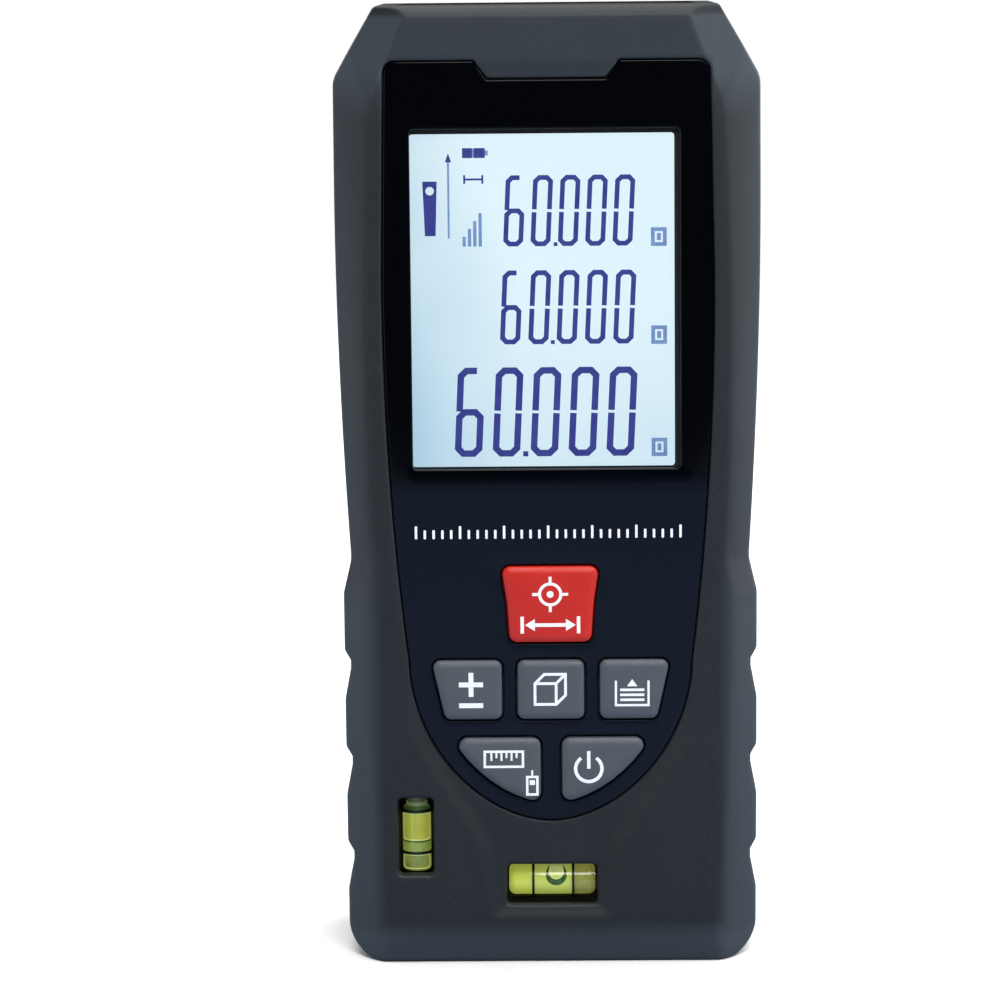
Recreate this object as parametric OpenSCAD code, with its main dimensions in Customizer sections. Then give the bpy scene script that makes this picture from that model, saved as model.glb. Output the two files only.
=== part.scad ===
// Hand-held laser distance meter, standing on its rear end face.
// X is to the reader's right, Y points from the display to the back, Z is up along the beam.
// The origin is the middle of the rear end face, which is the measuring reference. Millimetres.

/* [Housing] */
// Length from the rear reference face to the beam end
body_h = 118; // [112:1:130]
// Widest half-width, across the shoulders
shoulder_hw = 26; // [25.5:0.5:30]
// Depth of the two shells together
body_d = 28; // [27.5:0.5:33]
// Narrowest half-width, above the grip
waist_hw = 24.5; // [24.2:0.1:25.2]
// Half-width of the ribbed grip
grip_hw = 25.5; // [25.2:0.1:26]
// How deep each finger groove is cut
groove_depth = 0.8; // [0.4:0.1:1]
// Distance from one finger groove to the next
groove_pitch = 12.2; // [11:0.2:13]
// Wall of both shells
wall = 2; // [1.6:0.1:2.2]
// Radius of the lower corners seen from the front
foot_radius = 6; // [4:0.5:7]
// Half-width of the flat front face between the side bevels
front_flat_hw = 21.2; // [20.8:0.2:22]
// Plane where the shells meet, behind the middle plane
seam_y = 1; // [0.5:0.5:2]

/* [Fascia] */
// Half-width of the black fascia at its widest
fascia_hw = 20.1; // [19.8:0.1:20.4]
// Height of the fascia's top edge below the beam end
fascia_top_drop = 6.6; // [6:0.2:9]
// Height of the fascia's lowest point
fascia_low_z = 18.15; // [17.8:0.05:18.6]
// Thickness of the fascia
fascia_t = 1.2; // [0.9:0.1:1.4]
// How far the fascia lies below the front face
fascia_sink = 0.4; // [0.2:0.1:0.6]

/* [Display] */
// Half-width of the display window
window_hw = 16.3; // [13:0.1:16.3]
// Height of the display window
window_h = 41.3; // [34:0.1:42]
// Lower edge of the display window
window_z = 61.9; // [61.5:0.1:63]
// The window lies this far right of the middle
window_shift = -0.3; // [-0.4:0.1:0.4]
// Thickness of the clear pane
lens_t = 0.8; // [0.6:0.1:1]
// Thickness of the liquid crystal cell
lcd_t = 1.8; // [1.4:0.1:2]
// Thickness of the backlight
backlight_t = 2; // [1.6:0.1:2.2]

/* [Keys] */
// How far the keys stand proud of the fascia
key_proud = 0.6; // [0.4:0.1:0.8]
// Travel of each key
key_travel = 0.6; // [0.3:0.1:0.7]
// Gap round each key
key_gap = 0.22; // [0.15:0.01:0.3]
// Half-widths of the measure key at its top, where its sides bend, and at its bottom
measure_hw = [6, 5.3, 5];
// Lower edge and height of the measure key
measure_span = [40.5, 9.4];
// Lower edge and height of the middle row
middle_span = [30.9, 7.35];
// Half-width of the function key
function_hw = 4.1; // [3.6:0.1:4.2]
// Inner, upper outer and lower outer edges of the middle row's side keys
side_key_x = [6, 14.65, 13];
// Inner and outer edges of the lowest keys
low_key_x = [1.3, 11.4];
// Top edge of the lowest keys
low_key_top = 28.55; // [28:0.05:28.8]
// Border of fascia left outside the lowest keys
low_key_border = 2.15; // [1.9:0.05:3]

/* [Vials] */
// Radius of the horizontal vial
level_r = 2.3; // [2:0.05:2.4]
// Radius of the vertical vial
plumb_r = 2.1; // [1.8:0.05:2.2]
// Wall of both vials
vial_wall = 0.5; // [0.35:0.05:0.6]
// Centre height and window half-length of the horizontal vial
level_at = [9.9, 5.6];
// Centre x, centre height and window half-length of the vertical vial
plumb_at = [-16.8, 16.15, 4.85];
// Depth of both vial axes below the front face
vial_depth = 3.9; // [3.6:0.1:4.2]

/* [Batteries] */
// Diameter of an AAA cell
cell_d = 10.5; // [10:0.1:10.6]
// Length of an AAA cell with its nub
cell_len = 44.5; // [43.5:0.1:45]
// Length of a contact spring with the cells in
spring_len = 4.5; // [4:0.1:5]
// Floor of the battery bay above the reference face
bay_z = 11; // [10.8:0.1:11.4]
// Clearance between a cell and the bay
cell_gap = 0.35; // [0.3:0.05:0.5]
// Thickness of the battery door
door_t = 1.8; // [1.6:0.1:2]
// Gap round the battery door
door_gap = 0.15; // [0.12:0.01:0.2]
// Radius of the door's hinge stubs
stub_r = 0.5; // [0.4:0.05:0.55]
// Running clearance of the hinge stubs
stub_clear = 0.08; // [0.05:0.01:0.1]

/* [Tripod bush] */
// Major diameter of the tripod thread
tripod_d = 6.35; // [6.35, 9.5]
// Depth of the tripod thread
tripod_len = 8; // [6:0.5:9]
// Height of the tripod thread above the reference face
tripod_z = 71.8; // [71.5:0.1:72]

/* [Optics] */
// Radius of the receiver lens
lens_r = 7; // [6:0.1:7.2]
// Centre of the receiver lens
receiver_at = [5, 3.3];
// Radius of the laser barrel
barrel_r = 3.5; // [3:0.1:3.8]
// Centre of the laser barrel
laser_at = [-11, 3.3];
// Height of the sensor board's upper face below the beam end
sensor_drop = 38; // [36:0.5:38.5]

/* [Hidden] */

$fn = 48;
eps = 0.01;
seat = 0.1;                              // clearance between fixed pieces that drop into each other

// Depths, front to back
face_y = -body_d / 2;
back_y = body_d / 2;
fascia_y = face_y + fascia_sink;
floor_y = fascia_y + fascia_t;           // front of the floor that carries the fascia
floor_t = 1;
floor_back_y = floor_y + floor_t;
key_y = fascia_y - key_proud;
flange_t = 0.8;
flange_y = floor_back_y + 0.2;
plunger_len = 0.8;
plunger_y = flange_y + flange_t;
pad_y = plunger_y + plunger_len + key_travel + seat;
pad_t = 0.7;
mat_y = pad_y + pad_t;
mat_t = 0.6;
dome_y = mat_y + mat_t;
dome_t = 0.4;
board_y = dome_y + dome_t;
board_t = 1.2;
board_back_y = board_y + board_t;
vial_y = face_y + vial_depth;
vial_seam_y = vial_y + 0.2;              // where the window block meets the vial holder

// Housing outline seen from the front
groove_w = 1;
groove_step = 1.1;
groove_ramp = 4.1;
first_groove_z = 12.5;
groove_count = 3;
grip_top_z = first_groove_z + groove_pitch * (groove_count - 1) + 9.3;
waist_z = grip_top_z + 4.2;
shoulder_z = 96;
shoulder_power = 1.9;
cant = 30.4;                             // lean of the upper corners, in degrees from vertical
cant_top_hw = shoulder_hw - 5.2;
cant_foot_z = body_h - (shoulder_hw - cant_top_hw) / tan(cant);
cant_r = 3.4;
cant_tangent = cant_r * tan(cant / 2);

function arc_points(c, r, a0, a1, n) =
    [for (i = [0 : n]) c + r * [cos(a0 + (a1 - a0) * i / n), sin(a0 + (a1 - a0) * i / n)]];

function groove_points(z) = [
    [grip_hw, z - groove_ramp],
    [grip_hw - groove_depth, z],
    [grip_hw - groove_depth, z + groove_w],
    [grip_hw, z + groove_w + groove_step]
];

function shoulder_point(z) =
    [shoulder_hw - (shoulder_hw - waist_hw) * pow((shoulder_z - z) / (shoulder_z - waist_z), shoulder_power), z];

right_side = concat(
    arc_points([grip_hw - foot_radius, foot_radius], foot_radius, -90, 0, 8),
    [for (i = [0 : groove_count - 1]) each groove_points(first_groove_z + i * groove_pitch)],
    [[grip_hw, grip_top_z]],
    [for (i = [0 : 8]) shoulder_point(waist_z + (shoulder_z - waist_z) * i / 8)],
    arc_points([shoulder_hw - cant_r, cant_foot_z - cant_tangent], cant_r, 0, cant, 6),
    [[cant_top_hw, body_h]]
);

function mirrored(points) = concat(points, [for (i = [len(points) - 1 : -1 : 0]) [-points[i].x, points[i].y]]);

module rounded(r, $fn = 24) {
    offset(r) offset(-r) children();
}

module along_y(y0, y1) {
    translate([0, y1, 0]) rotate([90, 0, 0]) linear_extrude(y1 - y0) children();
}

module bar_y(x, z, r, y0, y1) {
    along_y(y0, y1) translate([x, z]) circle(r);
}

module bar_z(at, r, z0, z1) {
    translate([at.x, at.y, z0]) cylinder(r = r, h = z1 - z0);
}

module box(x0, x1, y0, y1, z0, z1) {
    translate([x0, y0, z0]) cube([x1 - x0, y1 - y0, z1 - z0]);
}

module span(x0, x1, z0, z1) {
    translate([x0, z0]) square([x1 - x0, z1 - z0]);
}

// ---- Housing ----

bevel_depth = 5;
back_flat_hw = 22.2;
back_bevel = 4;
top_wall = 2.6;

module outline() {
    polygon(mirrored(right_side));
}

module section() {
    reach = shoulder_hw + 0.5;
    rounded(1) polygon([
        [-front_flat_hw, face_y], [front_flat_hw, face_y],
        [reach, face_y + bevel_depth], [reach, back_y - back_bevel],
        [back_flat_hw, back_y], [-back_flat_hw, back_y],
        [-reach, back_y - back_bevel], [-reach, face_y + bevel_depth]
    ]);
}

module side_view() {
    edge = 1.4;
    lip = 1.1;
    rounded(0.6) polygon([
        [face_y + edge, 0], [face_y, edge], [face_y, body_h - lip], [face_y + lip, body_h],
        [back_y - edge, body_h], [back_y, body_h - edge], [back_y, edge], [back_y - edge, 0]
    ]);
}

module outer_form() {
    intersection() {
        along_y(face_y, back_y) outline();
        linear_extrude(body_h) section();
        rotate([90, 0, 90]) translate([0, 0, -shoulder_hw - 1]) linear_extrude(2 * shoulder_hw + 2) side_view();
    }
}

module inner_form() {
    intersection() {
        along_y(face_y, back_y) offset(delta = -wall) outline();
        translate([0, 0, wall]) linear_extrude(body_h - wall - top_wall) offset(delta = -wall) section();
    }
}

module half_space(y0, y1) {
    box(-shoulder_hw - 2, shoulder_hw + 2, y0, y1, -1, body_h + 1);
}

screw_x = 19.6;
screw_zs = [6.5, body_h - 9];
boss_r = 2.6;
rear_boss_r = 3.2;
pilot_r = 1;
shank_r = 1.1;
shank_clear_r = 1.25;
head_r = 2.1;
head_well_r = 2.3;
head_t = 1.6;
head_y = back_y - 9.6;

post_x = 18.2;
post_zs = [27, 54.5];
post_r = 2;

// ---- Fascia outline ----

fascia_top_z = body_h - fascia_top_drop;
curve_z = 38;                            // where the fascia's sides turn into its rounded foot
curve_hw = fascia_hw - 2.8;
curve_power = 1.85;
widest_z = 85;
top_narrowing = 0.5;
tab_hw = [8.8, 7.25];                    // half-widths of the housing's tab in the fascia's top edge
tab_h = 2.25;

function foot_point(a) = [
    curve_hw * pow(sin(a), 2 / curve_power),
    curve_z - (curve_z - fascia_low_z) * pow(cos(a), 2 / curve_power)
];

function side_point(z) = [fascia_hw - 2.8 * pow((widest_z - z) / (widest_z - curve_z), 2.1), z];

fascia_side = concat(
    [for (i = [0 : 14]) foot_point(90 * i / 14)],
    [for (i = [1 : 8]) side_point(curve_z + (widest_z - curve_z) * i / 8)],
    [[fascia_hw - top_narrowing, fascia_top_z]]
);

module fascia_blank() {
    polygon(mirrored(fascia_side));
}

module fascia_outline() {
    difference() {
        rounded(1.3) fascia_blank();
        translate([0, fascia_top_z]) polygon([
            [-tab_hw[0], 1], [-tab_hw[0], 0], [-tab_hw[1], -tab_h],
            [tab_hw[1], -tab_h], [tab_hw[0], 0], [tab_hw[0], 1]
        ]);
    }
}

// ---- Key outlines ----

module measure_outline() {
    bend_z = measure_span[0] + measure_span[1] / 2;
    rounded(1) polygon(mirrored([
        [measure_hw[2], measure_span[0]], [measure_hw[1], bend_z], [measure_hw[0], measure_span[0] + measure_span[1]]
    ]));
}

module function_outline() {
    rounded(0.9) span(-function_hw, function_hw, middle_span[0], middle_span[0] + middle_span[1]);
}

module side_key_outline(side) {
    top = middle_span[0] + middle_span[1];
    rounded(0.9) polygon([
        [side * side_key_x[0], middle_span[0]], [side * side_key_x[2], middle_span[0]],
        [side * side_key_x[1], top], [side * side_key_x[0], top]
    ]);
}

module low_key_outline(side) {
    rounded(1.05) intersection() {
        scale([side, 1]) span(low_key_x[0], low_key_x[1], fascia_low_z, low_key_top);
        offset(delta = -low_key_border) fascia_blank();
    }
}

middle_z = middle_span[0] + middle_span[1] / 2;
measure_z = measure_span[0] + measure_span[1] / 2;
side_key_mid = (side_key_x[0] + side_key_x[2]) / 2 + 0.4;
low_key_mid = [low_key_x[0] + 3.9, low_key_top - 3];
key_centres = [
    [0, measure_z], [-side_key_mid, middle_z], [0, middle_z], [side_key_mid, middle_z],
    [-low_key_mid.x, low_key_mid.y], low_key_mid
];

module key_outlines(grow) {
    offset(delta = grow) measure_outline();
    offset(delta = grow) function_outline();
    offset(delta = grow) side_key_outline(-1);
    offset(delta = grow) side_key_outline(1);
    offset(delta = grow) low_key_outline(-1);
    offset(delta = grow) low_key_outline(1);
}

// ---- Display outlines ----

glass_border = 1;
glass_hw = window_hw + glass_border;
glass_z = [window_z - 1.7, window_z + window_h + 1.8];
frame_wall = 1.2;

module window_span(grow) {
    rounded(0.4) span(
        window_shift - window_hw - grow, window_shift + window_hw + grow,
        window_z - grow, window_z + window_h + grow
    );
}

module glass_span(grow) {
    span(window_shift - glass_hw - grow, window_shift + glass_hw + grow, glass_z[0] - grow, glass_z[1] + grow);
}

glass_y = floor_y + seat;
glass_back_y = glass_y + lcd_t;
backlight_back_y = glass_back_y + backlight_t;
shelf_t = 0.8;
zebra_h = 1.6;
zebra_z = glass_z[0] + 0.4;

// ---- Beam end ----

plate_hw = 18.4;
plate_y = [-7, 11];
plate_t = 1.4;
plate_sink = 0.2;
plate_z = body_h - plate_sink - plate_t;
receiver_opening_r = lens_r - 0.4;
laser_opening_r = 2;
pane_r = 2.6;
pane_t = 0.6;

module plate_outline(grow) {
    offset(delta = grow) rounded(3) translate([-plate_hw, plate_y[0]]) square([2 * plate_hw, plate_y[1] - plate_y[0]]);
}

// ---- Battery bay ----

contact_t = 0.4;
contact_gap = 0.1;
cell_r = cell_d / 2;
cell_pitch = cell_d + 0.7;
bay_hw = cell_pitch / 2 + cell_r + cell_gap;
bay_len = cell_len + spring_len + 2 * contact_t + 2 * contact_gap;
bay_top_z = bay_z + bay_len;
bay_wall = 1.2;
door_y = back_y - door_t;
foam_t = 1.1;
cell_y = door_y - foam_t - cell_gap - cell_r;
bay_floor_y = cell_y - cell_r - 0.25;
bay_floor_t = 1;
door_hw = bay_hw + 3.2;
door_rim = 2.6;                          // thickened wall round the door opening
door_z = [bay_z - 2.6, bay_top_z + 1.2];
door_seat_y = door_y - 0.1;
hinge_z = door_z[0] + door_t / 2;
hinge_y = back_y - door_t / 2;
stub_len = 1.2;
nub_r = 1.9;
nub_len = 1.2;

// ---- Tripod boss ----

bush_r = tripod_d / 2 + 1.6;
bush_wall = 1.5;
bush_sink = 0.1;
bush_y = back_y - bush_sink - tripod_len;

module window_block() {
    level_z = level_at[0];
    box(-level_at[1] - 2.2, level_at[1] + 2.2, face_y + 1, vial_seam_y, level_z - level_r - 1.3, level_z + level_r + 1.3);
    box(
        plumb_at[0] - plumb_r - 1.1, plumb_at[0] + plumb_r + 1.1, face_y + 1, vial_seam_y,
        plumb_at[1] - plumb_at[2] - 1.4, plumb_at[1] + plumb_at[2] + 1.4
    );
}

window_lip = vial_depth - max(level_r, plumb_r) - seat; // thickness of the housing in front of the vials

module vial_windows() {
    along_y(face_y - 1, face_y + window_lip + eps) {
        rounded(0.6) span(-level_at[1], level_at[1], level_at[0] - 2.5, level_at[0] + 2.5);
        rounded(0.6) span(
            plumb_at[0] - plumb_r - 0.1, plumb_at[0] + plumb_r + 0.1,
            plumb_at[1] - plumb_at[2], plumb_at[1] + plumb_at[2]
        );
    }
    box(
        -level_half - seat, level_half + seat, face_y + window_lip, vial_seam_y + 1,
        level_at[0] - level_r - 0.15, level_at[0] + level_r + 0.15
    );
    box(
        plumb_at[0] - plumb_r - seat, plumb_at[0] + plumb_r + seat, face_y + window_lip, vial_seam_y + 1,
        plumb_at[1] - plumb_half - seat, plumb_at[1] + plumb_half + seat
    );
}

module front_shell() color([0.20, 0.22, 0.24]) difference() {
    union() {
        difference() {
            intersection() {
                outer_form();
                half_space(face_y - 1, seam_y);
            }
            inner_form();
        }
        along_y(floor_y, floor_back_y) offset(delta = 1.2) fascia_outline();
        for (side = [-1, 1], z = screw_zs) bar_y(side * screw_x, z, boss_r, face_y + 1.5, seam_y);
        for (side = [-1, 1], z = post_zs) bar_y(side * post_x, z, post_r, face_y + 2, board_y);
        window_block();
    }
    along_y(face_y - 1, floor_y) offset(delta = seat) fascia_outline();
    along_y(floor_y - 1, floor_back_y + 1) key_outlines(key_gap + 0.05);
    along_y(floor_y - 1, floor_back_y + 1) glass_span(0.3);
    for (side = [-1, 1], z = screw_zs) bar_y(side * screw_x, z, pilot_r, face_y + 4, seam_y + 1);
    for (side = [-1, 1], z = post_zs) bar_y(side * post_x, z, 0.8, board_y - 3.4, board_y + 1);
    vial_windows();
    end_recess();
    gasket_ring(0.05);
}

module end_recess() {
    translate([0, 0, plate_z]) linear_extrude(body_h) plate_outline(seat);
    bar_z(receiver_at, receiver_opening_r + 0.4, body_h - top_wall - 1, body_h);
    bar_z(laser_at, laser_opening_r + 0.6, body_h - top_wall - 1, body_h);
}

module rear_shell() color([0.19, 0.20, 0.22]) difference() {
    union() {
        difference() {
            intersection() {
                outer_form();
                half_space(seam_y, back_y + 1);
            }
            inner_form();
        }
        box(
            -door_hw - door_rim, door_hw + door_rim, door_seat_y - 1.5, back_y - 1,
            door_z[0] - door_rim, door_z[1] + door_rim
        );
        box(
            -bay_hw - bay_wall, bay_hw + bay_wall, bay_floor_y - bay_floor_t, back_y - 1,
            bay_z - bay_wall, bay_top_z + bay_wall
        );
        for (side = [-1, 1], z = screw_zs) bar_y(side * screw_x, z, rear_boss_r, seam_y, back_y - 1);
        bar_y(0, tripod_z, bush_r + bush_wall, bush_y - 1, back_y - 1);
    }
    along_y(door_seat_y, back_y + 1) offset(delta = door_gap) door_outline();
    box(-bay_hw, bay_hw, bay_floor_y, back_y, bay_z, bay_top_z);
    translate([-door_hw - stub_len - door_gap, hinge_y, hinge_z])
        rotate([0, 90, 0]) cylinder(r = stub_r + stub_clear, h = 2 * (door_hw + stub_len + door_gap));
    for (side = [-1, 1]) box(
        side * cell_pitch / 2 - 2.1, side * cell_pitch / 2 + 2.1, bay_floor_y - 2, bay_floor_y + eps,
        bay_top_z - contact_t - seat, bay_top_z
    );
    for (side = [-1, 1], z = screw_zs) {
        bar_y(side * screw_x, z, shank_clear_r, seam_y - 1, back_y);
        bar_y(side * screw_x, z, head_well_r, head_y, back_y + 1);
    }
    bar_y(0, tripod_z, bush_r, bush_y, back_y + 1);
    finger_notch();
    end_recess();
    gasket_ring(0.05);
}

gasket_w = 0.8;
gasket_inset = 0.6;

module gasket_ring(grow) {
    along_y(seam_y - gasket_w / 2 - grow, seam_y + gasket_w / 2 + grow) difference() {
        offset(delta = -gasket_inset + grow) outline();
        offset(delta = -gasket_inset - gasket_w - grow) outline();
    }
}

module seam_gasket() color([0.08, 0.08, 0.08]) difference() {
    gasket_ring(0);
    translate([0, 0, plate_z - seat]) linear_extrude(10) plate_outline(seat + 0.3);
}

module fascia() color([0.03, 0.035, 0.05]) along_y(fascia_y, floor_y) difference() {
    fascia_outline();
    window_span(0);
    key_outlines(key_gap);
}

module display_lens() color([0.75, 0.85, 0.9, 0.35])
    along_y(fascia_y, fascia_y + lens_t) window_span(-0.05);

module lcd_glass() color([0.80, 0.90, 0.95]) along_y(glass_y, glass_back_y) glass_span(0);

module lcd_backlight() color([0.92, 0.95, 0.98]) along_y(glass_back_y, backlight_back_y)
    span(window_shift - glass_hw, window_shift + glass_hw, zebra_z + zebra_h + 0.4, glass_z[1]);

module lcd_frame() color([0.85, 0.85, 0.82]) difference() {
    along_y(floor_back_y + seat, board_y) glass_span(frame_wall);
    along_y(floor_y, backlight_back_y) glass_span(seat);
    along_y(floor_y, backlight_back_y + shelf_t) glass_span(-1.5);
    along_y(backlight_back_y + shelf_t, board_y + 1) glass_span(-0.4);
    along_y(floor_y, board_y + 1)
        span(window_shift - glass_hw + 0.6, window_shift + glass_hw - 0.6, zebra_z - seat, zebra_z + zebra_h + seat);
}

module zebra_strip() color([0.9, 0.45, 0.55]) along_y(glass_back_y, board_y)
    span(window_shift - glass_hw + 0.8, window_shift + glass_hw - 0.8, zebra_z, zebra_z + zebra_h);

module key(centre) {
    along_y(key_y, flange_y + eps) children();
    along_y(flange_y, plunger_y) offset(delta = 0.7) children();
    bar_y(centre.x, centre.y, 1.5, plunger_y - eps, plunger_y + plunger_len);
}

module measure_key() color([0.80, 0.16, 0.14]) key(key_centres[0]) measure_outline();

module plus_minus_key() color([0.37, 0.39, 0.42]) key(key_centres[1]) side_key_outline(-1);

module function_key() color([0.37, 0.39, 0.42]) key(key_centres[2]) function_outline();

module memory_key() color([0.37, 0.39, 0.42]) key(key_centres[3]) side_key_outline(1);

module unit_key() color([0.37, 0.39, 0.42]) key(key_centres[4]) low_key_outline(-1);

module clear_key() color([0.37, 0.39, 0.42]) key(key_centres[5]) low_key_outline(1);

mat_hw = post_x - post_r - 0.3;

module keypad_mat() color([0.55, 0.56, 0.57]) {
    along_y(mat_y, mat_y + mat_t) rounded(2)
        span(-mat_hw, mat_hw, key_centres[4].y - 2.8, measure_z + 6.5);
    for (c = key_centres) bar_y(c.x, c.y, 2, pad_y, mat_y + eps);
}

module dome_switches() color([0.80, 0.80, 0.78])
    for (c = key_centres) bar_y(c.x, c.y, 2.4, dome_y, board_y);

// ---- Electronics ----

board_hw = 20.5;
board_z = [22.8, glass_z[1] + 0.5];
ear_x = 18.3;
optics_top_z = body_h - top_wall - 0.2;
optics_low_z = body_h - sensor_drop;
ear_zs = [optics_low_z + 3, optics_top_z - 13];
ear_r = 2.1;

module main_board() color([0.05, 0.32, 0.18]) along_y(board_y, board_back_y) difference() {
    rounded(1) span(-board_hw, board_hw, board_z[0], board_z[1]);
    for (side = [-1, 1], z = post_zs) translate([side * post_x, z]) circle(shank_r + 0.1);
    for (side = [-1, 1], z = ear_zs) translate([side * ear_x, z]) circle(0.9);
}

module chip(x, z, w, h, t) {
    box(x - w / 2, x + w / 2, board_back_y, board_back_y + t, z - h / 2, z + h / 2);
}

module board_chips() color([0.10, 0.10, 0.11]) {
    chip(0, 46, 9, 9, 1);
    chip(-13, 44, 5, 6, 1);
    chip(12, 38, 4, 5, 0.9);
    chip(-6, 32, 5, 4, 0.9);
    chip(14, 48, 3, 6, 1.4);
    chip(11, 70, 6, 6, 1);
    chip(1, 72, 5, 4, 0.9);
    for (i = [0 : 5]) chip(-14 + 2.4 * i, 53.5, 1.2, 2, 0.7);
}

module board_screws() color([0.7, 0.7, 0.72]) for (side = [-1, 1], z = post_zs) {
    bar_y(side * post_x, z, 1.8, board_back_y, board_back_y + 1);
    bar_y(side * post_x, z, 0.8, board_y - 3.2, board_back_y + eps);
}

module buzzer() color([0.07, 0.07, 0.07]) difference() {
    bar_y(-13, 67, 4.8, board_back_y, board_back_y + 3.4);
    bar_y(-13, 67, 1, board_back_y + 2, board_back_y + 5);
}

// ---- Optics ----

lens_seat_z = optics_top_z - 5.4;
lens_edge_t = 1.6;
lens_bulge = 1.5;
ring_t = 1.5;
light_r = lens_r - 0.9;
frame_y = [receiver_at.y - lens_r - 1.1, receiver_at.y + lens_r + 1.1];
frame_x = [laser_at.x - barrel_r - 1.3, receiver_at.x + lens_r + 1.4];
barrel_z = [optics_low_z + 6, optics_top_z - 2];
diode_r = 2.8;

module optics_frame() color([0.15, 0.15, 0.16]) difference() {
    union() {
        box(frame_x[0], frame_x[1], frame_y[0], frame_y[1], optics_low_z, optics_top_z);
        for (side = [-1, 1], z = ear_zs) {
            bar_y(side * ear_x, z, ear_r, board_back_y, frame_y[0] + 1.4);
            box(
                side < 0 ? -ear_x : frame_x[1] - 2, side < 0 ? frame_x[0] + 2 : ear_x,
                board_back_y, frame_y[0] + 1.4, z - 1.6, z + 1.6
            );
        }
    }
    bar_z(receiver_at, light_r, optics_low_z - 1, optics_top_z);
    bar_z(receiver_at, lens_r + 0.05, lens_seat_z, optics_top_z + 1);
    bar_z(laser_at, barrel_r + 0.05, optics_low_z - 1, optics_top_z + 1);
    for (side = [-1, 1], z = ear_zs) bar_y(side * ear_x, z, 0.9, board_back_y - 1, frame_y[0] + 3);
    box(laser_at.x + barrel_r + 1.2, receiver_at.x - lens_r - 1.1, frame_y[0] + 1, frame_y[1] - 1,
        optics_low_z - 1, optics_top_z - 8);
}

module optics_screws() color([0.7, 0.7, 0.72]) for (side = [-1, 1], z = ear_zs) {
    bar_y(side * ear_x, z, 1.5, frame_y[0] + 1.4, frame_y[0] + 2.4);
    bar_y(side * ear_x, z, 0.8, board_y + 0.1, frame_y[0] + 1.4 + eps);
}

module receiver_lens() color([0.6, 0.75, 0.85, 0.5]) {
    dome_r = (lens_r * lens_r + lens_bulge * lens_bulge) / (2 * lens_bulge);
    bar_z(receiver_at, lens_r, lens_seat_z, lens_seat_z + lens_edge_t);
    intersection() {
        translate([receiver_at.x, receiver_at.y, lens_seat_z + lens_edge_t + lens_bulge - dome_r]) sphere(dome_r);
        bar_z(receiver_at, lens_r - 0.3, lens_seat_z + lens_edge_t - eps, lens_seat_z + lens_edge_t + lens_bulge);
    }
}

module lens_ring() color([0.12, 0.12, 0.12]) difference() {
    bar_z(receiver_at, lens_r, lens_seat_z + lens_edge_t, lens_seat_z + lens_edge_t + ring_t);
    bar_z(receiver_at, lens_r - 0.25, lens_seat_z, optics_top_z);
}

module laser_barrel() color([0.76, 0.65, 0.35]) difference() {
    bar_z(laser_at, barrel_r, barrel_z[0], barrel_z[1]);
    bar_z(laser_at, barrel_r - 0.6, barrel_z[0] - 1, barrel_z[1] + 1);
}

module collimator_lens() color([0.7, 0.8, 0.9, 0.5])
    bar_z(laser_at, barrel_r - 0.62, barrel_z[1] - 5, barrel_z[1] - 3);

module laser_diode() color([0.85, 0.75, 0.4]) {
    bar_z(laser_at, diode_r, barrel_z[0] - 1.2, barrel_z[0]);
    bar_z(laser_at, diode_r - 0.9, barrel_z[0] - eps, barrel_z[0] + 2.4);
    for (a = [0, 120, 240]) bar_z(laser_at + [cos(a), sin(a)], 0.25, optics_low_z, barrel_z[0] - 1.2 + eps);
}

sensor_t = 1.2;

module sensor_board() color([0.05, 0.32, 0.18])
    box(frame_x[0], frame_x[1], frame_y[0] + 0.4, frame_y[1] - 0.4, optics_low_z - sensor_t, optics_low_z);

module detector() color([0.8, 0.8, 0.8]) {
    bar_z(receiver_at, 2.7, optics_low_z, optics_low_z + 3);
    bar_z(receiver_at, 3, optics_low_z, optics_low_z + 0.5);
}

module sensor_ribbon() color([0.85, 0.55, 0.15]) {
    low = optics_low_z - sensor_t;
    box(-9, -3, board_back_y, frame_y[0] + 2, low - 0.3, low);
    box(-9, -3, board_back_y, board_back_y + 0.3, low - 5, low - 0.3 + eps);
}

module end_plate() color([0.04, 0.04, 0.05]) difference() {
    translate([0, 0, plate_z]) linear_extrude(plate_t) plate_outline(0);
    bar_z(receiver_at, receiver_opening_r, plate_z - 1, body_h);
    bar_z(laser_at, laser_opening_r, plate_z - 1, body_h);
    bar_z(laser_at, pane_r + 0.05, plate_z - 1, plate_z + pane_t);
}

module laser_window() color([0.8, 0.85, 0.9, 0.4]) bar_z(laser_at, pane_r, plate_z, plate_z + pane_t);

// ---- Battery bay contents ----

spring_foot_r = 3.5;
spring_tip_r = 2.3;
wire_r = 0.28;
spring_turns = 4;
spring_steps = 12;
wire_sides = 6;

module battery() {
    shell_len = cell_len - nub_len;
    cylinder(r = cell_r, h = shell_len);
    translate([0, 0, shell_len - eps]) cylinder(r = nub_r, h = nub_len + eps);
}

module left_battery() color([0.16, 0.42, 0.26])
    translate([-cell_pitch / 2, cell_y, bay_z + contact_t + spring_len + contact_gap]) battery();

module right_battery() color([0.16, 0.42, 0.26])
    translate([cell_pitch / 2, cell_y, bay_z + contact_t + contact_gap + cell_len]) rotate([180, 0, 0]) battery();

function spring_ring(i, n, len) = let (
    t = i / n,
    a = 360 * spring_turns * t,
    r = spring_foot_r + (spring_tip_r - spring_foot_r) * t,
    z = wire_r + (len - 2 * wire_r) * t
) [for (k = [0 : wire_sides - 1]) let (
    b = 360 * k / wire_sides,
    out = r + wire_r * cos(b)
) [out * cos(a), out * sin(a), z + wire_r * sin(b)]];

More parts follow.
